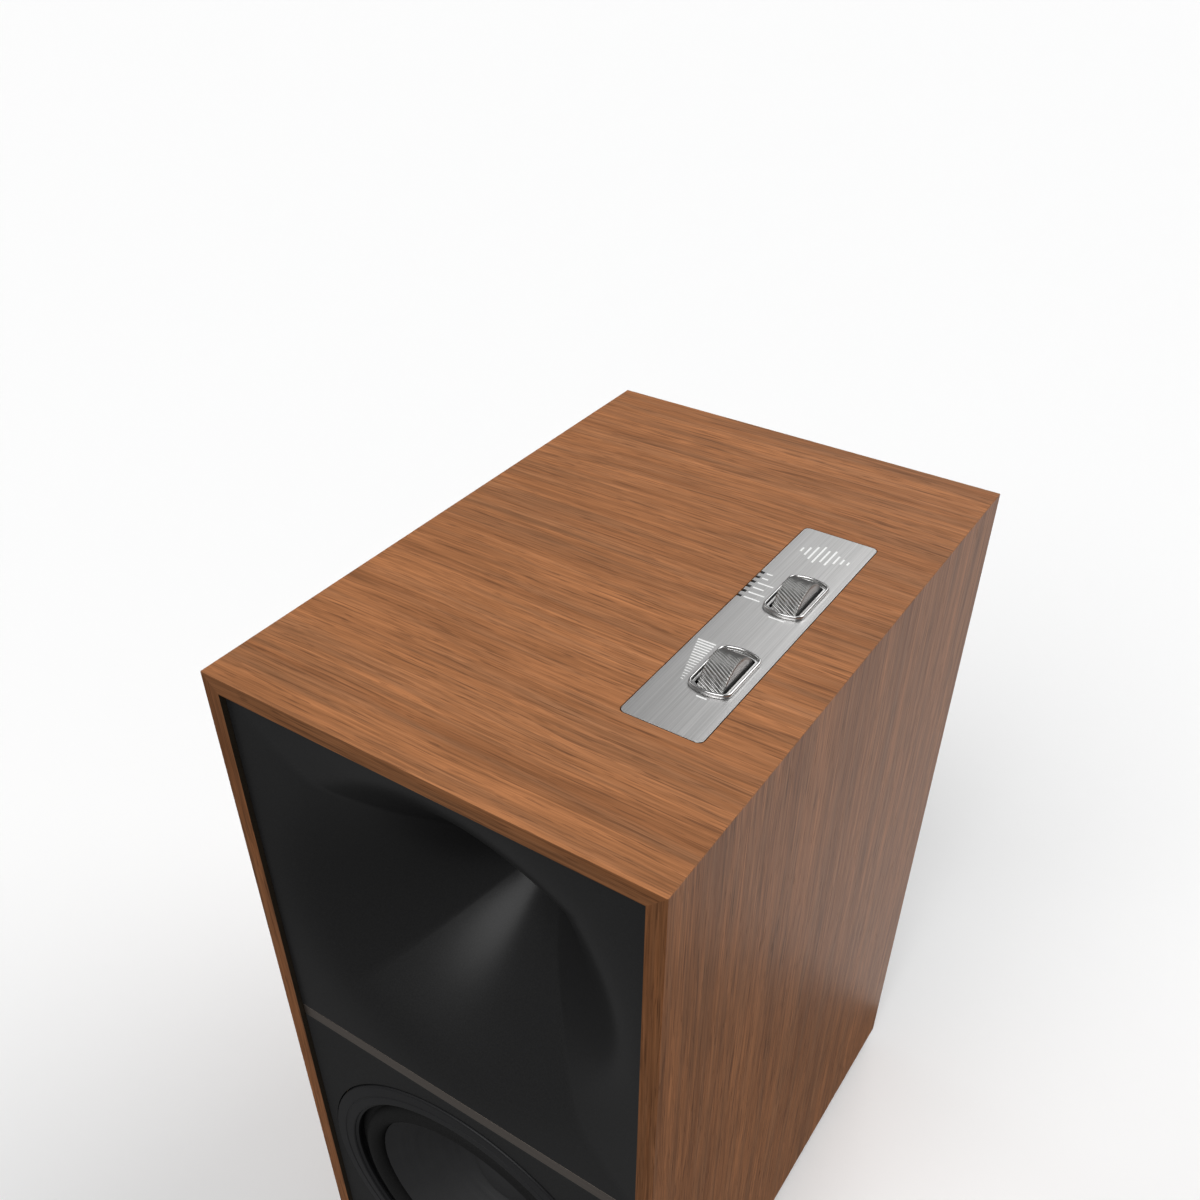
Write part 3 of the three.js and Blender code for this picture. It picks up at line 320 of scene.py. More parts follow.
RUBBER = moulded("black_rubber", (0.011, 0.011, 0.011), 0.7, 0.3, 1300, **DULL)
PANEL = moulded("powder_coat", (0.012, 0.012, 0.013), 0.5, 0.5, 2200, **COATED)
PULP = fibrous("pulp_cone", (0.018, 0.018, 0.019), 0.62, 900, 0.35)
FELT = fibrous("grey_felt", (0.06, 0.06, 0.064), 0.95, 700, 0.8)
MDF = fibrous("raw_board", (0.27, 0.175, 0.1), 0.9, 600, 0.2)
SEALED = fibrous("sealed_edge", (0.045, 0.031, 0.016), 0.6, 500, 0.4)
FABRIC = fibrous("treated_cloth", (0.32, 0.2, 0.08), 0.85, 1500, 0.5)
PLATE_METAL = brushed("brushed_plate", (0.53, 0.525, 0.52), 1, 0.36, 3400, 12, 0.14, 0.15)
STRIP_METAL = brushed("satin_strip", (0.26, 0.225, 0.2), 0, 0.42, 2000, 20, 0.1)
WHEEL_METAL = metal("knurled_metal", (0.41, 0.405, 0.395), 0.3, 500, 0.02)
CHROME = metal("polished_rim", (0.62, 0.615, 0.61), 0.15, 300, 0.02)
STEEL = metal("plated_steel", (0.42, 0.42, 0.41), 0.34)
FERRITE = metal("ferrite", (0.03, 0.03, 0.032), 0.7, 500, 0.3)
TITANIUM = spun("spun_titanium", (0.42, 0.41, 0.39), 0.32, (0, 0, HORN_Z), 1)
GOLD = spun("gold_plate", (0.75, 0.5, 0.18), 0.22, (0, 0, 200), 1, 500)
COPPER = metal("enamelled_copper", (0.42, 0.16, 0.06), 0.4, 700, 0.3)
ALUMINIUM = brushed("extruded_aluminium", (0.55, 0.55, 0.55), 2, 0.4, 1200, 20)
BOARD_GREEN = board_green()
PRINT = moulded("white_print", (0.78, 0.78, 0.77), 0.5, 0.1, 2000)
LAMP = moulded("smoked_lamp", (0.004, 0.004, 0.004), 0.16, 0.02, 900)
RED = moulded("red_insulator", (0.42, 0.02, 0.015), 0.45, 0.1)
WHITE = moulded("white_insulator", (0.7, 0.7, 0.68), 0.45, 0.1)

# ---------------- mesh pieces


def finish_mesh(mesh, angle):
    """Welds, drops degenerate faces, points the faces out and shades them smooth up to an angle."""
    bm = bmesh.new()
    bm.from_mesh(mesh)
    bmesh.ops.remove_doubles(bm, verts=bm.verts, dist=2e-6)
    bmesh.ops.dissolve_degenerate(bm, dist=1e-6, edges=bm.edges)
    bmesh.ops.recalc_face_normals(bm, faces=bm.faces)
    bm.to_mesh(mesh)
    bm.free()
    mesh.shade_smooth()
    mesh.set_sharp_from_angle(angle=math.radians(angle))


def piece(name, parts, material, stands_for=(), body="cabinet", angle=35):
    """A piece from (vertices, faces) parts in mm, with its material, slot and body.

    A piece can be made with no body of its own.
    """
    verts, faces = [], []
    for part_verts, part_faces in parts:
        start = len(verts)
        verts += [Vector(v) * MM for v in part_verts]
        faces += [tuple(i + start for i in face) for face in part_faces]
    mesh = bpy.data.meshes.new(name)
    mesh.from_pydata(verts, [], faces)
    finish_mesh(mesh, angle)
    mesh.materials.append(material)
    made = bpy.data.objects.new(name, mesh)
    bpy.context.scene.collection.objects.link(made)
    made.modifiers.new("even_shading", "WEIGHTED_NORMAL").keep_sharp = True
    if body:
        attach(made, body)
    if stands_for:
        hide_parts(*stands_for)
    return made


def loft(rings, closed=False, caps=True):
    """Faces between rings of equal size, in order."""
    count = len(rings[0])
    verts = [v for ring in rings for v in ring]
    faces = []
    for k in range(len(rings) - (0 if closed else 1)):
        a, b = k * count, ((k + 1) % len(rings)) * count
        faces += [(a + i, a + (i + 1) % count, b + (i + 1) % count, b + i) for i in range(count)]
    if caps and not closed:
        faces += [tuple(range(count)), tuple(range(len(verts) - count, len(verts)))]
    return verts, faces


def lathe(profile, centre, axis=1, segments=96, closed=True):
    """A profile of (radius, along) points turned about an axis through a centre."""
    rings = []
    for radius, along in profile:
        ring = []
        for i in range(segments):
            angle = 2 * math.pi * i / segments
            point = [0.0, 0.0, 0.0]
            point[axis] = along
            point[(axis + 1) % 3] = radius * math.cos(angle)
            point[(axis + 2) % 3] = radius * math.sin(angle)
            ring.append(tuple(p + c for p, c in zip(point, centre)))
        rings.append(ring)
    verts, faces = loft(rings, closed, caps=False)
    if not closed:
        for k in (0, len(rings) - 1):
            if profile[k][0] > 1e-6:
                faces.append(tuple(range(k * segments, (k + 1) * segments)))
    return verts, faces


def arc(centre, radius, start, end, steps):
    """Points of a circle's arc, in degrees."""
    angles = [math.radians(start + (end - start) * i / steps) for i in range(steps + 1)]
    return [(centre[0] + radius * math.cos(a), centre[1] + radius * math.sin(a)) for a in angles]


def rounded(width, height, radius, steps=8, centre=(0, 0)):
    """A rounded rectangle's outline."""
    w, h = width / 2 - radius, height / 2 - radius
    points = []
    for k, (x, y) in enumerate(((w, h), (-w, h), (-w, -h), (w, -h))):
        points += arc((centre[0] + x, centre[1] + y), radius, 90 * k, 90 * k + 90, steps)
    return points


def circle(x, z, radius, steps=40):
    """A circle's outline."""
    return [(x + radius * math.cos(a), z + radius * math.sin(a))
            for a in (2 * math.pi * i / steps for i in range(steps))]


def oblong(x, z, width, height, radius=0.8):
    """The rounded outline of a small opening or fitting."""
    return rounded(width, height, radius, 4, (x, z))


def grown(outline, by):
    """An outline moved out along its normals."""
    moved = []
    for i, (x, y) in enumerate(outline):
        (x0, y0), (x1, y1) = outline[i - 1], outline[(i + 1) % len(outline)]
        dx, dy = x1 - x0, y1 - y0
        size = math.hypot(dx, dy) or 1
        moved.append((x + by * dy / size, y - by * dx / size))
    return moved


def block(low, high, bevel=0.4, steps=2):
    """A block between two corners, with rounded edges."""
    bm = bmesh.new()
    bmesh.ops.create_cube(bm, size=1)
    size = [b - a for a, b in zip(low, high)]
    middle = [(a + b) / 2 for a, b in zip(low, high)]
    place = Matrix.Translation(middle) @ Matrix.Diagonal((*size, 1))
    bmesh.ops.transform(bm, matrix=place, verts=bm.verts)
    if bevel:
        bevel = min(bevel, min(size) * 0.45)
        bmesh.ops.bevel(
            bm, geom=bm.edges, offset=bevel, segments=steps, affect="EDGES", profile=0.5,
        )
    verts = [tuple(v.co) for v in bm.verts]
    faces = [tuple(v.index for v in f.verts) for f in bm.faces]
    bm.free()
    return verts, faces


FLAT = Matrix.Identity(4)
UPRIGHT = Matrix(((1, 0, 0, 0), (0, 0, 1, 0), (0, 1, 0, 0), (0, 0, 0, 1)))  # swaps Y and Z


def evaluated_mesh(made):
    """A new mesh of an object with its modifiers or curve settings applied."""
    return bpy.data.meshes.new_from_object(
        made.evaluated_get(bpy.context.evaluated_depsgraph_get()))


def slab(loops, low, high, bevel=0.3, stand=FLAT):
    """A plate with the first loop as its outline and the others as holes."""
    curve = bpy.data.curves.new("slab", "CURVE")
    curve.dimensions = "2D"
    curve.fill_mode = "BOTH"
    curve.extrude = (high - low) / 2 - bevel
    curve.bevel_depth = bevel
    curve.bevel_resolution = 2
    curve.offset = -bevel
    for loop in loops:
        spline = curve.splines.new("POLY")
        spline.points.add(len(loop) - 1)
        for point, (x, y) in zip(spline.points, loop):
            point.co = (x, y, 0, 1)
        spline.use_cyclic_u = True
    holder = bpy.data.objects.new("slab", curve)
    bpy.context.scene.collection.objects.link(holder)
    mesh = evaluated_mesh(holder)
    middle = Matrix.Translation((0, 0, (low + high) / 2))
    verts = [tuple(stand @ (middle @ v.co)) for v in mesh.vertices]
    faces = [tuple(p.vertices) for p in mesh.polygons]
    bpy.data.objects.remove(holder)
    bpy.data.curves.remove(curve)
    bpy.data.meshes.remove(mesh)
    return verts, faces


def placed(part, matrix):
    """A part moved by a matrix."""
    verts, faces = part
    return [tuple(matrix @ Vector(v)) for v in verts], faces


def sweep(outline, section, height, centre):
    """A closed section of (outward, up) points swept round an outline on the top."""
    rings = [
        [(x + centre[0], y + centre[1], height + up) for x, y in grown(outline, out)]
        for out, up in section
    ]
    return loft(rings, closed=True)


# ---------------- cabinet
ROUND = 0.45  # outer edges of the veneered cabinet
POCKET_GAP, POCKET_CORNER = 0.9, 3.3
SMOOTH_ANGLE = 35


def panel_profile(half, outer, inner_half, inner):
    """Half of each corner's rounding, then the inner edge: (along the panel, height) points."""
    bend = [(half - ROUND + ROUND * math.sin(a), outer - ROUND + ROUND * math.cos(a))
            for a in (math.radians(45 * i / 3) for i in range(4))]
    points = [(-x, z) for x, z in reversed(bend)] + bend
    return points + [(inner_half, inner), (-inner_half, inner)]


def panel_parts(half, depth_outer):
    """A mitred panel of one length, drawn with its outer face up at a height."""
    deep = depth_outer - WALL
    thin = depth_outer - EDGE
    profiles = []
    for y, shrink, rebated in (
        (FRONT, ROUND, True),
        (FRONT + 0.13, 0.4 * ROUND, True),
        (FRONT + ROUND, 0, True),
        (FRONT + REBATE, 0, True),
        (FRONT + REBATE + 0.01, 0, False),
        (BACK - ROUND, 0, False),
        (BACK - 0.13, 0.4 * ROUND, False),
        (BACK, ROUND, False),
    ):
        reach = EDGE if rebated else WALL
        inner = thin if rebated else deep
        profile = panel_profile(half, depth_outer, half - reach, inner)
        ring = []
        for x, z in profile:
            out = z > inner + 1
            ring.append((x * (1 - (shrink / half if out else 0)), y, z - (shrink if out else 0)))
        profiles.append(ring)
    return loft(profiles)


def cut_pocket(lid):
    """Cuts the control plate's pocket into the top panel."""
    outline = rounded(PLATE[0] + POCKET_GAP, PLATE[1] + POCKET_GAP, POCKET_CORNER)
    rings = [[(x + PLATE_AT[0], y + PLATE_AT[1], z) for x, y in outline] for z in (TOP - 20, TOP + 5)]
    hole = piece("pocket_cutter", [loft(rings)], WALNUT_X)
    cut = lid.modifiers.new("pocket", "BOOLEAN")
    cut.object, cut.solver = hole, "EXACT"
    bpy.context.view_layer.update()
    lid.data = evaluated_mesh(lid)
    lid.modifiers.remove(cut)
    bpy.data.objects.remove(hole)
    lid.data.shade_smooth()
    lid.data.set_sharp_from_angle(angle=math.radians(SMOOTH_ANGLE))


def build_cabinet():
    middle = (TOP + BASE) / 2
    half = (TOP - BASE) / 2
    side = placed(panel_parts(half, WIDTH / 2), Matrix.Rotation(math.radians(90), 4, "Y"))
    raise_up = Matrix.Translation((0, 0, middle))
    right = placed(side, raise_up)
    left = placed(right, Matrix.Scale(-1, 4, (1, 0, 0)))
    top = panel_parts(WIDTH / 2, TOP)
    bottom = placed(panel_parts(WIDTH / 2, half), raise_up @ Matrix.Scale(-1, 4, (0, 0, 1)))
    lid = piece("veneered_top", [top], WALNUT_X, ["cabinet_top"])
    cut_pocket(lid)
    upright = (
        piece("veneered_right", [right], WALNUT_Z, ["cabinet_right"]),
        piece("veneered_left", [left], WALNUT_Z, ["cabinet_left"]),
    )
    flat = (lid, piece("veneered_bottom", [bottom], WALNUT_X, ["cabinet_bottom"]))
    # End faces take the darker walnut copies, which are painted shade, and the reveal inside the opening
    # takes the sealed colour.
    for panels, edge in ((upright, SHADED_EDGE_Z), (flat, SHADED_EDGE_X)):
        for panel in panels:
            panel.data.materials.append(edge)
            panel.data.materials.append(SEALED)
            for face in panel.data.polygons:
                x, y, z = (abs(c) / MM for c in face.center)
                steep = abs(face.normal.y)
                ends = abs(y - BACK) < 2 and steep > 0.5
                reveal = x < OPENING + 0.6 and LOW - 0.6 < z < HIGH + 0.6 and steep < 0.7
                face.material_index = 2 if reveal else 1 if ends else 0


# ---------------- horn
def flare(depth):
    """Half of the flare's square section at a depth behind the front, before its lip."""
    left = HORN_DEPTH - depth
    return THROAT * math.sqrt(0.5) + 0.5 * left + 0.00328 * left * left


def horn_corner(depth):
    """How far out the section's corners are."""
    return flare(depth) + (HORN_HALF[0] - flare(0)) * math.exp(-depth / 2)


def horn_wall(depth):
    """How far out the middles of the walls are: bowed, and round at the throat."""
    bow = 1.31 + (math.sqrt(2) - 1.31) * (depth / HORN_DEPTH) ** 4
    return bow * flare(depth) + (HORN_HALF[0] - 1.31 * flare(0)) * math.exp(-depth / 3)


def horn_ring(depth, corner, wall, steps=22):
    """A section of four bowed sides."""
    ring = []
    for side in range(4):
        for i in range(2 * steps):
            along = i / steps - 1
            out, over = wall + (corner - wall) * along * along, corner * along
            x, z = ((out, over), (-over, out), (-out, -over), (over, -out))[side]
            ring.append((x, FACE + depth, HORN_Z + z * HORN_HALF[1] / HORN_HALF[0]))
    return ring


def build_horn():
    depths = [0.0]
    while depths[-1] < HORN_DEPTH:
        depths.append(min(HORN_DEPTH, depths[-1] * 1.16 + 0.14))
    rings = [horn_ring(d, horn_corner(d), horn_wall(d)) for d in depths]
    rings += [horn_ring(d, 38 * math.sqrt(0.5), 38) for d in (HORN_DEPTH, HORN_DEPTH - 6)]
    rings += [horn_ring(d, horn_corner(d) + 4, horn_wall(d) + 4) for d in (78.5, 60, 44, 28, 16, 9)]
    rings += [horn_ring(4.7, 97, 97), horn_ring(4.7, HORN_HALF[0], HORN_HALF[0])]
    piece("horn_flare", [loft(rings, closed=True)], MOULDING, ["horn"], angle=24)


# ---------------- front
def build_front():
    edge = OPENING - 0.3
    strip = block((-edge, FACE, STRIP_Z), (edge, BOARD, STRIP_TOP - 0.3), 0.35)
    piece("satin_trim_strip", [strip], STRIP_METAL, ["trim_strip"])
    low, high = LOW + 0.3, STRIP_Z - 0.3
    outline = rounded(2 * edge, high - low, 0.6, 3, (0, (low + high) / 2))
    hole = circle(0, WOOFER_Z, WOOFER_HOLE_R, 128)
    fascia = slab([outline, hole], FACE, BOARD, 0.35, UPRIGHT)
    piece("fascia_panel", [fascia], TEXTURED, ["woofer_fascia"])


def build_woofer():
    centre = (0, 0, WOOFER_Z)
    flange = BOARD - 2.5
    ring = [(88, flange), (88, flange - 1.4)] + arc((90.6, FACE - 0.2), 1.1, 180, 270, 5)
    ring += [(95, FACE - 1.3), (95.5, FACE - 0.9), (96.1, FACE - 0.9), (96.6, FACE - 1.3)]
    ring += arc((102.2, FACE + 0.1), 1.3, 270, 360, 5) + [(103.5, flange)]
    piece("trim_ring_turned", [lathe(ring, centre, segments=160)], PLASTIC, ["woofer_trim_ring"])

    ledge = BOARD + 1.5
    build_surround(ledge)
    build_cone(centre, ledge)


def build_surround(ledge):
    """The rubber half roll, in sectors between the frame and the cone."""
    middle, roll = (CONE_R + SURROUND_R) / 2, (SURROUND_R - CONE_R) / 2 - 0.4
    outer = arc((middle, ledge - 0.4), roll, 180, 360, 20)
    inner = arc((middle, ledge - 0.4), roll - 0.8, 360, 180, 20)
    glued_in, glued_out = CONE_R + 0.1, 88.4
    profile = [(glued_in, ledge - 0.8), *outer, (glued_out, ledge - 0.4), (glued_out, ledge)]
    profile += [(middle + roll - 0.8, ledge), *inner, (glued_in, ledge + 0.2)]
    sectors, fine = 20, 8
    for k in range(sectors):
        rings = []
        for j in range(fine + 1):
            angle = 2 * math.pi * (k + j / fine) / sectors
            rings.append([(r * math.cos(angle), y, WOOFER_Z + r * math.sin(angle)) for r, y in profile])
        stands_for = [] if k else ["woofer_surround"]
        sector = piece(f"half_roll_surround_{k:02d}", [loft(rings)], RUBBER, stands_for, None)
        angle = 2 * math.pi * (k + 0.5) / sectors
        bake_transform(sector)


def build_cone(centre, ledge):
    """A gently curved cone pressed with rings, and its dust cap on a bead of glue."""
    neck, neck_y = 20.3, BOARD + 40
    thick, steps = 1.1, 44
    front, back = [], []
    for i in range(steps + 1):
        t = i / steps
        radius = neck + (CONE_R - neck) * t
        bow = neck_y + (ledge - 0.4 - neck_y) * (0.62 * t + 0.38 * t ** 1.9) - 1.1 * math.sin(math.pi * t)
        wave = max(0, math.cos(2 * math.pi * (radius - 34) / 6.2))
        ridge = 0.28 * wave ** 6 if 34 < radius < 70 else 0
        front.append((radius, bow - ridge))
        back.append((radius, bow + thick - ridge))
    cone = lathe(front + back[::-1], centre, segments=160)
    piece("pressed_cone", [cone], PULP, ["woofer_cone"], "woofer_cone_body")
    cap = [(27.2, neck_y - 7.6), (26.9, neck_y - 8.9), (26.2, neck_y - 9.6)]
    cap += [(25.8 * math.cos(a), neck_y - 9.4 - 9.2 * math.sin(a))
            for a in (math.radians(90 * i / 14) for i in range(1, 15))]
    shell = [(r * 0.965 if r > 1e-3 else 0, y + 0.8) for r, y in reversed(cap)]
    dome = lathe(cap + shell, centre, segments=96)
    piece("dust_cap_dome", [dome], PULP, ["woofer_dust_cap"], "woofer_cone_body")


# ---------------- controls in the top
def bowed(width, length, bow, corner, steps=8, ends=14):
    """Straight sides along Y with bowed ends and rounded corners."""
    half, reach = width / 2, length / 2 - bow
    slope = 4 * bow / width
    tilt = math.degrees(math.atan(slope))
    x = half - corner
    y = reach + slope * corner - corner * math.hypot(1, slope)
    bend = arc((x, y), corner, 0, 90 - tilt, steps)
    x0, lift = bend[-1]
    cosines = [math.cos(math.pi * i / ends) for i in range(1, ends)]
    end = [(x0 * c, lift + bow * (1 - c ** 2)) for c in cosines]
    half_way = bend + end + [(-px, py) for px, py in reversed(bend)]
    return half_way + [(-px, -py) for px, py in half_way]


BEZEL_OUT, BEZEL_IN = 21.3, 15.3  # widths
BEZEL_SHAPE = (1.3, 1.6)  # bow of the ends and radius of the corners


def build_bezel(name, y):
    """A polished rim that stands on the plate: a flat step inside a raised ridge."""
    inner = bowed(BEZEL_IN, 29.9, *BEZEL_SHAPE)
    out = (BEZEL_OUT - BEZEL_IN) / 2
    flat = out - 1.75
    section = [(0, 0), (0, 0.3), (0.15, 0.5), (flat - 0.1, 0.5), (flat, 0.62), (flat + 0.2, 1.1)]
    section += arc((flat + 0.9, 1.2), 0.68, 165, 8, 10)
    section += [(out - 0.06, 0.95), (out, 0.6), (out - 0.35, 0.4), (out - 0.35, 0.0)]
    rim = sweep(inner, section, TOP, (WHEEL_X, y))
    piece(name + "_rim", [rim], CHROME, [name + "_bezel"])


def knurl(angle, x, ribs=60, helix=28):
    """Depth of the slanting grooves, with a shallow finer family crossing them, in mm."""
    turn = ribs * angle / (2 * math.pi)
    slide = ribs * x * math.tan(math.radians(helix)) / (2 * math.pi * WHEEL_R)
    first = abs(((turn + slide) % 1) * 2 - 1)
    second = abs(((2 * turn - 2 * slide) % 1) * 2 - 1)
    return 0.5 * first ** 1.4 + 0.03 * second


def build_wheel(name, y):
    """A knurled wheel with turned flat sides, on its shaft."""
    around, across = 600, 44
    half, shaft = WHEEL_W / 2, 2.2

    def ring(radius, x, deep=0.0):
        points = []
        for i in range(around):
            angle = 2 * math.pi * i / around
            r = radius - deep * knurl(angle, x)
            points.append((WHEEL_X + x, y + r * math.sin(angle), WHEEL_Z + r * math.cos(angle)))
        return points

    rings = [ring(shaft, -half - 8.5), ring(shaft, -half)]
    rings += [ring(WHEEL_R - 1.0, -half), ring(WHEEL_R - 0.8, -half + 0.12)]
    for k in range(across + 1):
        x = -half + 0.25 + (WHEEL_W - 0.5) * k / across
        ease = min(1, (half - abs(x)) / 0.6)
        rings.append(ring(WHEEL_R - 0.2 * (1 - ease), x, 1))
    rings += [ring(WHEEL_R - 0.8, half - 0.12), ring(WHEEL_R - 1.0, half)]
    rings += [ring(shaft, half), ring(shaft, half + 4)]
    wheel = piece(name + "_thumb_wheel", [loft(rings)], WHEEL_METAL,
                  [name + "_wheel"], name + "_wheel_body", angle=30)
    turned = spun(name + "_wheel_side", (0.5, 0.495, 0.49), 0.42, (0, y, WHEEL_Z), 0, 1500)
    wheel.data.materials.append(turned)
    for face in wheel.data.polygons:
        face.material_index = 1 if abs(face.normal.x) > 0.9 else 0


def lamp_places():
    return [LAMPS_Y + (i - 2.5) * LAMP_STEP for i in range(6)]


def build_plate():
    """The brushed plate with its notches for the lamps, the lamps and the printed marks."""
    left, right = PLATE_AT[0] - PLATE[0] / 2, PLATE_AT[0] + PLATE[0] / 2
    low, high = PLATE_AT[1] - PLATE[1] / 2, PLATE_AT[1] + PLATE[1] / 2
    corner = 3.0
    outline = arc((right - corner, low + corner), corner, -90, 0, 8)
    outline += arc((right - corner, high - corner), corner, 0, 90, 8)
    outline += arc((left + corner, high - corner), corner, 90, 180, 8)
    for y in reversed(lamp_places()):
        outline += [(left, y + 1), (left + 2.3, y + 1), (left + 2.3, y - 1), (left, y - 1)]
    outline += arc((left + corner, low + corner), corner, 180, 270, 8)
    holes = [[(x + WHEEL_X, y + at) for x, y in bowed(16.4, 31.0, *BEZEL_SHAPE)]
             for at in (SOURCE_Y, VOLUME_Y)]
    plate = slab([outline, *holes], TOP - 2, TOP, 0.12)
    piece("brushed_control_plate", [plate], PLATE_METAL, ["control_plate"], angle=30)

    lamps = [block((left + 0.15, y - 0.9, TOP - 6), (left + 2.2, y + 0.9, TOP - 0.25), 0.2)
             for y in lamp_places()]
    bar = block((left + 0.2, LAMPS_Y - 14, TOP - 8), (left + 2.1, LAMPS_Y + 14, TOP - 5.9), 0.2)
    piece("lamp_windows", [*lamps, bar], LAMP, ["led_light_guide"])

    marks = []

    def mark(x0, y0, x1, y1):
        marks.append(block((x0, y0, TOP - 0.02), (x1, y1, TOP + 0.02), 0))

    # Shrinking bars beside the volume wheel, dashes beside the lamps, a row of upright bars at
    # the back end and a dash in front of each wheel.
    count, scale_x, first_y = 16, 58.9, -32.2
    for i in range(count):
        length = 8.6 * (1 - i / count) + 0.6
        y = first_y - 1.93 * i
        thick = 0.95 - 0.45 * i / count
        mark(scale_x - length, y - thick / 2, scale_x, y + thick / 2)
    for y, length in zip(lamp_places(), (8.4, 8.4, 5.6, 8.4, 3.2, 3.2)):
        mark(left + 3.4, y - 0.5, left + 3.4 + length, y + 0.5)
    row_x, row_y = 54.5, 62.5
    for i, tall in enumerate((4, 8, 13, 17, 12, 15, 8, 5, 3)):
        x = row_x + 3.1 * i
        mark(x, row_y - tall / 2, x + 1.0, row_y + tall / 2)
    mark(69.5, -68.6, 74.5, -67.7)
    mark(68, 0.3, 76, 1.2)
    piece("printed_marks", marks, PRINT)


def build_controls():
    for name, y in (("source", SOURCE_Y), ("volume", VOLUME_Y)):
        build_bezel(name, y)
        build_wheel(name, y)
    build_plate()


# ---------------- back
def screw(x, z, y, radius=3.0):
    """A socket-head screw with a domed rim, pointing backwards."""
    rings = []
    for r, out in ((radius, -1), (radius, 0.5), (radius * 0.86, 1.0), (radius * 0.55, 1.15)):
        rings.append([(x + r * math.cos(a), y + out, z + r * math.sin(a))
                      for a in (2 * math.pi * i / 24 for i in range(24))])
    for out in (1.1, 0.0):
        ring = []
        for i in range(24):
            a = 2 * math.pi * i / 24
            hexagon = 0.5 * radius * math.cos(math.pi / 6) / math.cos((a % (math.pi / 3)) - math.pi / 6)
            ring.append((x + hexagon * math.cos(a), y + out, z + hexagon * math.sin(a)))
        rings.append(ring)
    return loft(rings)


def build_port():
    centre = (0, 0, PORT_Z)
    mouth = REAR + 2
    start = mouth - 118
    flared = [(PORT_R + 11 * (1 - math.cos(a)), mouth - 11 * (1 - math.sin(a)))
              for a in (math.radians(90 * i / 14) for i in range(15))]
    inlet = [(PORT_R + 6 * (1 - math.cos(a)), start + 6 * (1 - math.sin(a)))
             for a in (math.radians(90 * i / 10) for i in range(11))]
    rim = [(45.2, mouth), (45.8, mouth - 0.35), (46, mouth - 1), (46, REAR), (41.5, REAR)]
    outside = [(41.5, REAR - 12), (33, REAR - 19), (33, start + 8), (38.4, start + 0.4)]
    profile = flared + rim + outside + inlet[::-1]
    piece("port_flare", [lathe(profile, centre, segments=120)], PLASTIC, ["port_tube"])


def build_pan():
    """The recessed amplifier panel, its screws, cooling fins and printed rules."""
    w, h = PAN
    lip, under = REAR + 2, PAN_FLOOR - 2.5
    room = (w - 2 * 8.3 - 5, h - 2 * 8.3 - 5)
    opening = rounded(*room, 3, 6, (0, PAN_Z))
    rim = slab([rounded(w, h, 5, 8, (0, PAN_Z)), opening], REAR, lip, 0.5, UPRIGHT)
    rings = []
    for grow, y in ((5, under), (5, REAR + 0.4), (0, REAR + 0.4), (0, under)):
        outline = rounded(room[0] + grow, room[1] + grow, 3 + grow / 2, 6)
        rings.append([(x, y, z + PAN_Z) for x, z in outline])
    wall = loft(rings, closed=True)
    holes = [
        oblong(*INLET_AT, 30.6, 22.6),
        oblong(*ROCKER_AT, 22.6, 29.6),
        oblong(*SWITCH_AT, 6, 12, 0.5),
        oblong(*HDMI_AT, 16, 6.8, 1),
        oblong(*OPTICAL_AT, 10.8, 10.8),
        oblong(*USB_AT, 12.6, 11.6),
        *[circle(JACK_X, z, 5.5) for z in JACKS_Z.values()],
        circle(*LINK_AT, 8.3),
        circle(*GROUND_AT, 2.3),
        circle(*PAIRING_AT, 3.8),
    ]
    outline = rounded(room[0] + 1, room[1] + 1, 3, 6, (0, PAN_Z))
    base = slab([outline, *holes], under, PAN_FLOOR, 0.1, UPRIGHT)
    piece("amplifier_pan", [rim, wall, base], PANEL, ["amp_panel"])

    reach_x, reach_z = w / 2 - 5.2, h / 2 - 5.2
    places = [(x * reach_x, PAN_Z + z * reach_z) for x in (-1, 1) for z in (-1, -0.34, 0.34, 1)]
    places += [(0, PAN_Z + z * reach_z) for z in (-1, 1)]
    piece("pan_screws", [screw(x, z, lip, 2.6) for x, z in places], STEEL)

    fins = [block((-72 + 6.2 * i, PAN_FLOOR - 0.2, 246), (-70 + 6.2 * i, PAN_FLOOR + 9, 272), 0.5)
            for i in range(24)]
    piece("cooling_fins", fins, PANEL)

    rules, thick = [], 0.4
    for x0, z0, x1, z1 in ((18, 204, 78, 250), (-4, 114, 74, 142), (-72, 66, -32, 140)):
        for a, b, c, d in (
            (x0, z0, x1, z0 + thick),
            (x0, z1 - thick, x1, z1),
            (x0, z0, x0 + thick, z1),
            (x1 - thick, z0, x1, z1),
        ):
            rules.append(block((a, PAN_FLOOR - 0.02, b), (c, PAN_FLOOR + 0.05, d), 0))
    piece("printed_rules", rules, PRINT)


def sleeve(at, sections, radius=0.8, closed=True):
    """A rectangular sleeve round (x, z) from (width, height, y) sections."""
    rings = [[(x, y, z) for x, z in oblong(*at, wide, tall, radius)] for wide, tall, y in sections]
    return loft(rings, closed=closed)


def build_jacks():
    """Three plated jacks with coloured insulators."""
    face = PAN_FLOOR
    tints = {"line_jack_left": WHITE, "line_jack_right": RED, "sub_jack": PLASTIC}
    shell = [
        (3.2, face - 10), (5.2, face - 10), (5.2, face), (6.6, face), (6.6, face + 1.3),
        (6.3, face + 1.6), (4.2, face + 1.6), (4.2, face + 8.8), (4.0, face + 9), (3.4, face + 9),
        (3.2, face + 8.8),
    ]
    insert = [(1.7, face - 9.8), (3.2, face - 9.8), (3.2, face + 8.2), (1.7, face + 8.2)]
    for name, z in JACKS_Z.items():
        centre = (JACK_X, 0, z)
        piece(name + "_shell", [lathe(shell, centre, segments=48)], GOLD, [name])
        piece(name + "_insulator", [lathe(insert, centre, segments=48)], tints[name])


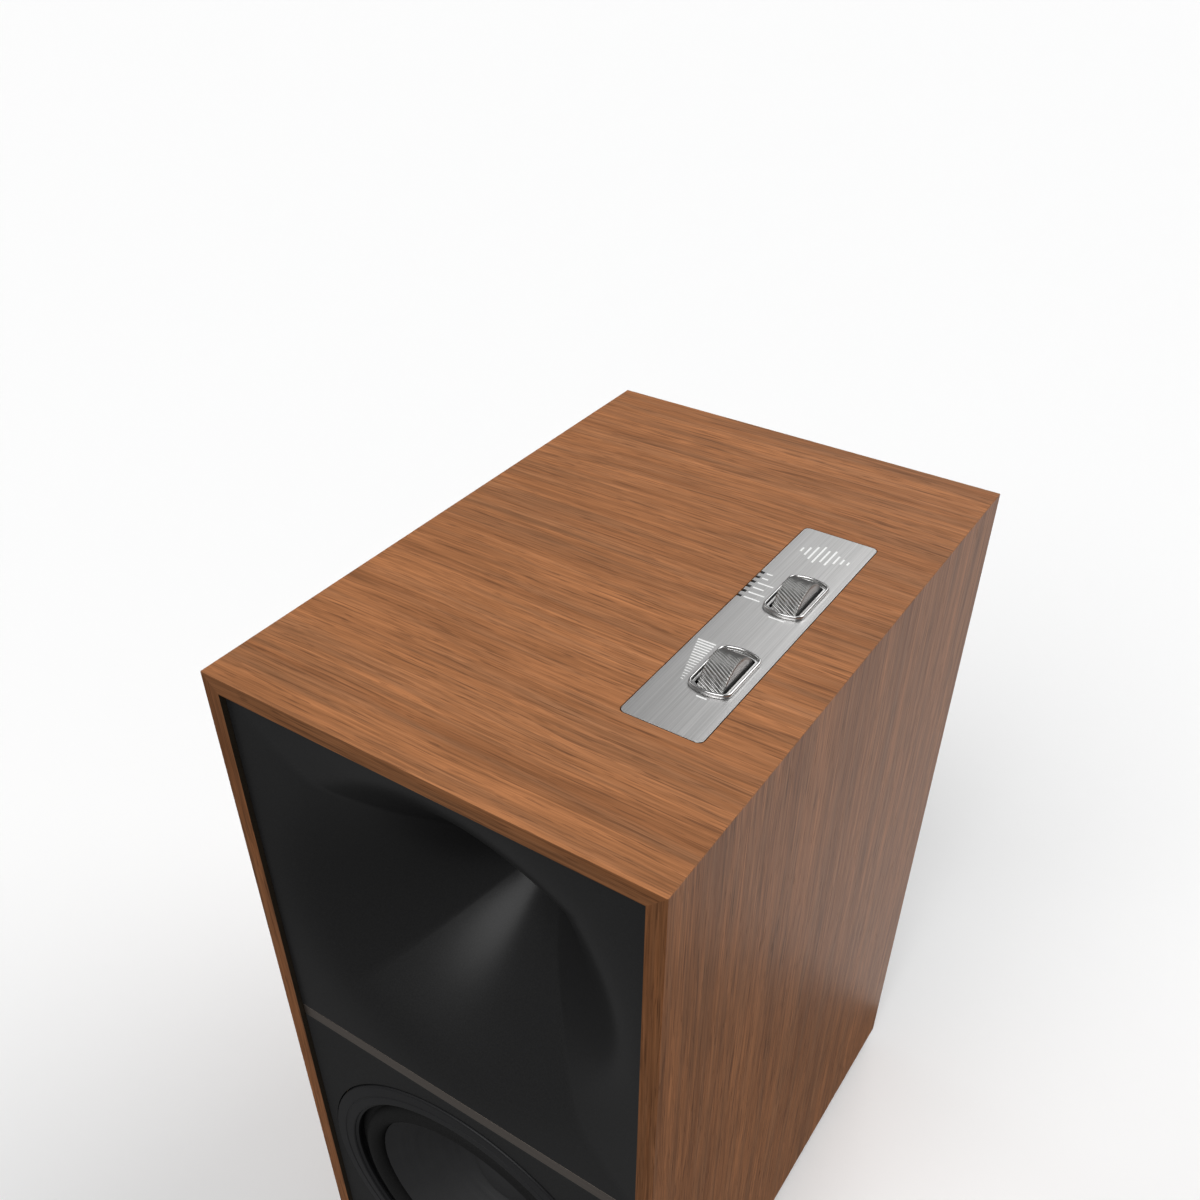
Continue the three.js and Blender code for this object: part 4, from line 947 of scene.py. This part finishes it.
def build_mains():
    """The mains inlet and the power rocker in its frame."""
    face = PAN_FLOOR
    x, z = INLET_AT
    body = slab([oblong(x, z, 36, 28, 2.5), oblong(x, z, 25, 17, 2.2)], face, face + 2.5, 0.5, UPRIGHT)
    sections = ((25, 17, face - 17), (25, 17, face + 1), (30, 22, face + 1), (30, 22, face - 22))
    tube = sleeve(INLET_AT, sections, 2)
    blades = [block((x + dx - 1, face - 17, z + dz - 2), (x + dx + 1, face - 3, z + dz + 2), 0.3)
              for dx, dz in ((-7, -1.5), (7, -1.5), (0, 2.5))]
    back = block((x - 14.5, face - 21.5, z - 10.5), (x + 14.5, face - 17, z + 10.5), 0.4)
    piece("inlet_body", [body, tube, back], PLASTIC, ["mains_inlet"])
    piece("inlet_blades", blades, STEEL)

    x, z = ROCKER_AT
    surround = slab([oblong(x, z, 26, 33, 1.5), oblong(x, z, 17.6, 24, 0.8)], face, face + 2, 0.4, UPRIGHT)
    sections = ((17.6, 24, face - 13), (17.6, 24, face + 1), (22, 29, face + 1), (22, 29, face - 16))
    well = sleeve(ROCKER_AT, sections)
    piece("rocker_surround", [surround, well], PLASTIC, ["rocker_frame"])

    # The key's hollowed face, drawn from the side and tilted to its rest position.
    tilt, steps = math.radians(8), 16
    rings = []
    for px, inset in ((-8.5, 0.5), (-8.1, 0.1), (-7.9, 0), (7.9, 0), (8.1, 0.1), (8.5, 0.5)):
        line = [(-11 + inset, -6), (11 - inset, -6)]
        line += [(11 - inset - (22 - 2 * inset) * i / steps,
                  2.4 + 1.2 * (2 * i / steps - 1) ** 2 - inset) for i in range(steps + 1)]
        rings.append([
            (x + px, face + 1 + out * math.cos(tilt) - up * math.sin(tilt),
             z + up * math.cos(tilt) + out * math.sin(tilt)) for up, out in line
        ])
    piece("rocker_key", [loft(rings)], GLOSS, ["power_rocker"], "power_rocker_body")


def build_slider():
    """The input switch's knob, ribbed, on its slide."""
    face = PAN_FLOOR
    x, z = SWITCH_AT[0], SWITCH_AT[1] - 3  # at rest the knob is at the low end of its slot
    knob = [block((x - 2.3, face - 4.5, z - 2.3), (x + 2.3, face + 3, z + 2.3), 0.4)]
    knob += [block((x - 2.3, face + 2.7, z - 1.7 + 1.5 * i), (x + 2.3, face + 3.3, z - 1.1 + 1.5 * i), 0.15)
             for i in range(3)]
    knob.append(block((x - 4.5, face - 6.5, z - 10), (x + 4.5, face - 2.8, z + 10), 0.4))
    piece("slider_knob", knob, PLASTIC, ["input_switch_slider"], "input_switch_body")


def build_data_sockets():
    """The HDMI and USB shells with their tongues, and the optical socket with its door."""
    face = PAN_FLOOR
    for name, node, at, inner, outer, tongue in (
        ("hdmi_shell", "hdmi_socket", HDMI_AT, (14.2, 5), (15.4, 6.2),
         ((2.6, face - 8.9, 127.4), (13.4, face - 0.6, 128.6))),
        ("usb_shell", "usb_socket", USB_AT, (10.8, 9.8), (12, 11),
         ((57.2, face - 8.9, 126.6), (62.8, face - 0.4, 129.4))),
    ):
        sections = ((*inner, face - 9), (*inner, face + 2), (*outer, face + 2), (*outer, face - 12))
        piece(name, [sleeve(at, sections, closed=False)], STEEL, [node])
        piece(name + "_tongue", [block(*tongue, 0.3)], PLASTIC)
    x, z = OPTICAL_AT
    optical = slab([oblong(x, z, 10.2, 10.2, 1), oblong(x, z, 7.4, 7.4, 0.6)], face, face + 2, 0.3, UPRIGHT)
    door = block((x - 3.6, face - 12, z - 3.6), (x + 3.6, face + 0.9, z + 3.6), 0.5)
    piece("optical_body", [optical, door], PLASTIC, ["optical_socket"])


def build_link():
    """The round socket for the other speaker, with four pins."""
    face = PAN_FLOOR
    x, z = LINK_AT
    rim = [
        (0, face - 10), (8, face - 10), (8, face), (11, face), (11, face + 1.6), (10.6, face + 2),
        (9, face + 2), (9, face + 7.6), (8.6, face + 8), (7.8, face + 8), (7.4, face + 7.6),
        (7.4, face - 2), (0, face - 2),
    ]
    pin = [(0, face - 3), (0.9, face - 3), (0.9, face + 3.4), (0.5, face + 4), (0, face + 4)]
    pins = [lathe(pin, (x + 3.6 * math.cos(a), 0, z + 3.6 * math.sin(a)), segments=16, closed=False)
            for a in (math.radians(45 + 90 * i) for i in range(4))]
    collar = lathe(rim, (x, 0, z), segments=64, closed=False)
    piece("link_collar", [collar], PLASTIC, ["link_socket"])
    piece("link_pins", pins, GOLD)


def build_earthing():
    """The earthing post and its knurled nut."""
    face = PAN_FLOOR
    x, z = GROUND_AT
    post = [
        (0, face - 8.4), (4.5, face - 8.4), (4.5, face - 2.8), (2, face - 2.8), (2, face + 12.4),
        (1.5, face + 13), (0, face + 13),
    ]
    stud = lathe(post, (x, 0, z), segments=32, closed=False)
    piece("ground_stud", [stud], STEEL, ["ground_post"])
    rings, steps = [], 96
    for radius, y, grooved in (
        (2.3, 2, 0), (5.0, 2, 0), (5.5, 2.5, 1), (5.5, 8.4, 1), (5.0, 9, 0), (2.3, 9, 0),
    ):
        ring = []
        for i in range(steps):
            angle = 2 * math.pi * i / steps
            r = radius - grooved * 0.35 * (i % 4 > 1)
            ring.append((x + r * math.cos(angle), face + y, z + r * math.sin(angle)))
        rings.append(ring)
    piece("knurled_ground_nut", [loft(rings, closed=True)], GOLD, ["ground_nut"], "ground_nut_body")


def build_pairing():
    """The pairing button's cap."""
    face = PAN_FLOOR
    profile = [
        (0, face - 6.5), (5, face - 6.5), (5, face - 4.5), (3.5, face - 4.5), (3.5, face + 1.2),
        (3.1, face + 1.6), (1.8, face + 1.4), (0, face + 1.3),
    ]
    cap = lathe(profile, (PAIRING_AT[0], 0, PAIRING_AT[1]), segments=48, closed=False)
    piece("pairing_cap", [cap], PLASTIC, ["pairing_button"], "pairing_button_body")


def build_sockets():
    build_jacks()
    build_mains()
    build_slider()
    build_data_sockets()
    build_link()
    build_earthing()
    build_pairing()


# ---------------- feet
def build_feet():
    for end, y in (("front", -1), ("back", 1)):
        for hand, x in (("left", -1), ("right", 1)):
            centre = (x * (WIDTH / 2 - 32), y * (DEPTH / 2 - 32), 0)
            profile = [(0, 0.9), (5, 0.9), (5.6, 0)] + arc((12.6, 1.4), 1.4, 270, 340, 4)
            profile += [(15.4, 7.2), (16, 8.2), (16, 9.5), (0, 9.5)]
            name = f"foot_{end}_{hand}"
            foot = lathe(profile, centre, 2, 64, False)
            piece(name + "_moulded", [foot], RUBBER, [name])


# ---------------- carried-over CAD nodes
CARRIED = {
    "textured_black": TEXTURED, "mdf": MDF, "felt": FELT, "steel": STEEL, "ferrite": FERRITE,
    "plastic": PLASTIC, "titanium": TITANIUM, "copper": COPPER, "fabric": FABRIC,
    "board_green": BOARD_GREEN, "aluminium": ALUMINIUM, "rubber": RUBBER, "moulding": MOULDING,
    "panel_black": PANEL, "gold": GOLD, "pulp": PULP, "brushed": PLATE_METAL, "chrome": CHROME,
    "dark_metal": WHEEL_METAL, "walnut": WALNUT_X, "trim_metal": STRIP_METAL,
}


def dress_nodes():
    """Gives every CAD node the detailed material of its slot; the basket is powder coated."""
    for part in frame["record"]["subparts"]:
        node = nodes[part["node"]]
        material = PANEL if part["node"] == "woofer_basket" else CARRIED[part["material_slot"]]
        node.data.materials.clear()
        node.data.materials.append(material)


# ---------------- floor, light and camera
def sheet(name, low, high, z, material):
    """A flat rectangle that isn't part of the object."""
    corners = [(low[0], low[1], z), (high[0], low[1], z), (high[0], high[1], z), (low[0], high[1], z)]
    mesh = bpy.data.meshes.new(name)
    mesh.from_pydata(corners, [], [(0, 1, 2, 3)])
    mesh.materials.append(material)
    made = bpy.data.objects.new(name, mesh)
    bpy.context.scene.collection.objects.link(made)
    return made


def build_floor_and_card():
    pale = Look("pale_floor", (FLOOR_SHADE,) * 3, 0.9)
    pale.set("Specular IOR Level", 0.0)
    floor = sheet("floor", (-FLOOR_REACH,) * 2, (FLOOR_REACH,) * 2, 0, pale.material)
    # The photograph's white surround sends no light or reflection back to the object.
    floor.visible_diffuse = floor.visible_glossy = False

    # A white card on the floor, seen only as a sheen along the cabinet's right side.
    glow = Look("card_white", (0.0, 0.0, 0.0), 0.9)
    glow.set("Emission Color", (1, 1, 1, 1))
    glow.set("Emission Strength", CARD_GLOW)
    card = sheet("reflector_card", CARD_LOW, CARD_HIGH, CARD_Z, glow.material)
    card.visible_camera = card.visible_shadow = card.visible_diffuse = False


def build_world():
    """A pale backdrop seen directly, and dimmer ambient light on the object."""
    world = bpy.data.worlds.new("studio")
    bpy.context.scene.world = world
    world.use_nodes = True
    tree = world.node_tree
    backdrop = tree.nodes["Background"]
    backdrop.inputs["Color"].default_value = (1, 1, 1, 1)
    seen = tree.nodes.new("ShaderNodeLightPath")
    level = tree.nodes.new("ShaderNodeMapRange")
    level.inputs["To Min"].default_value = AMBIENT
    level.inputs["To Max"].default_value = BACKDROP
    tree.links.new(seen.outputs["Is Camera Ray"], level.inputs["Value"])
    tree.links.new(level.outputs["Result"], backdrop.inputs["Strength"])


def aim(made, away):
    """Turns a light or camera so that it looks against a direction, with Z up."""
    made.rotation_mode = "QUATERNION"
    made.rotation_quaternion = (-away).to_track_quat("-Z", "Y")


def build_lights():
    for name, azimuth, height, energy in SOFTBOXES:
        data = bpy.data.lights.new(name, "SUN")
        data.energy, data.angle = energy, math.radians(SOFTBOX_ANGLE)
        softbox = bpy.data.objects.new(name, data)
        bpy.context.scene.collection.objects.link(softbox)
        turn, tip = math.radians(azimuth), math.radians(height)
        flat = math.cos(tip)
        aim(softbox, Vector((math.cos(turn) * flat, math.sin(turn) * flat, math.sin(tip))))


def build_camera():
    data = bpy.data.cameras.new("camera")
    camera = bpy.data.objects.new("camera", data)
    bpy.context.scene.collection.objects.link(camera)
    data.sensor_width, data.lens = SENSOR, LENS
    data.shift_x, data.shift_y = SHIFT
    data.clip_start, data.clip_end = 0.01, 100
    turn, tip = math.radians(CAMERA_TURN), math.radians(CAMERA_TIP)
    camera.location = Vector(CAMERA_AT) * MM
    aim(camera, Vector((math.sin(turn) * math.cos(tip), -math.cos(turn) * math.cos(tip), math.sin(tip))))
    bpy.context.scene.camera = camera
    bpy.context.scene.view_settings.view_transform = "Standard"


dress_nodes()
build_cabinet()
build_horn()
build_front()
build_woofer()
build_port()
build_controls()
build_pan()
build_sockets()
build_feet()
build_floor_and_card()
build_world()
build_lights()
build_camera()
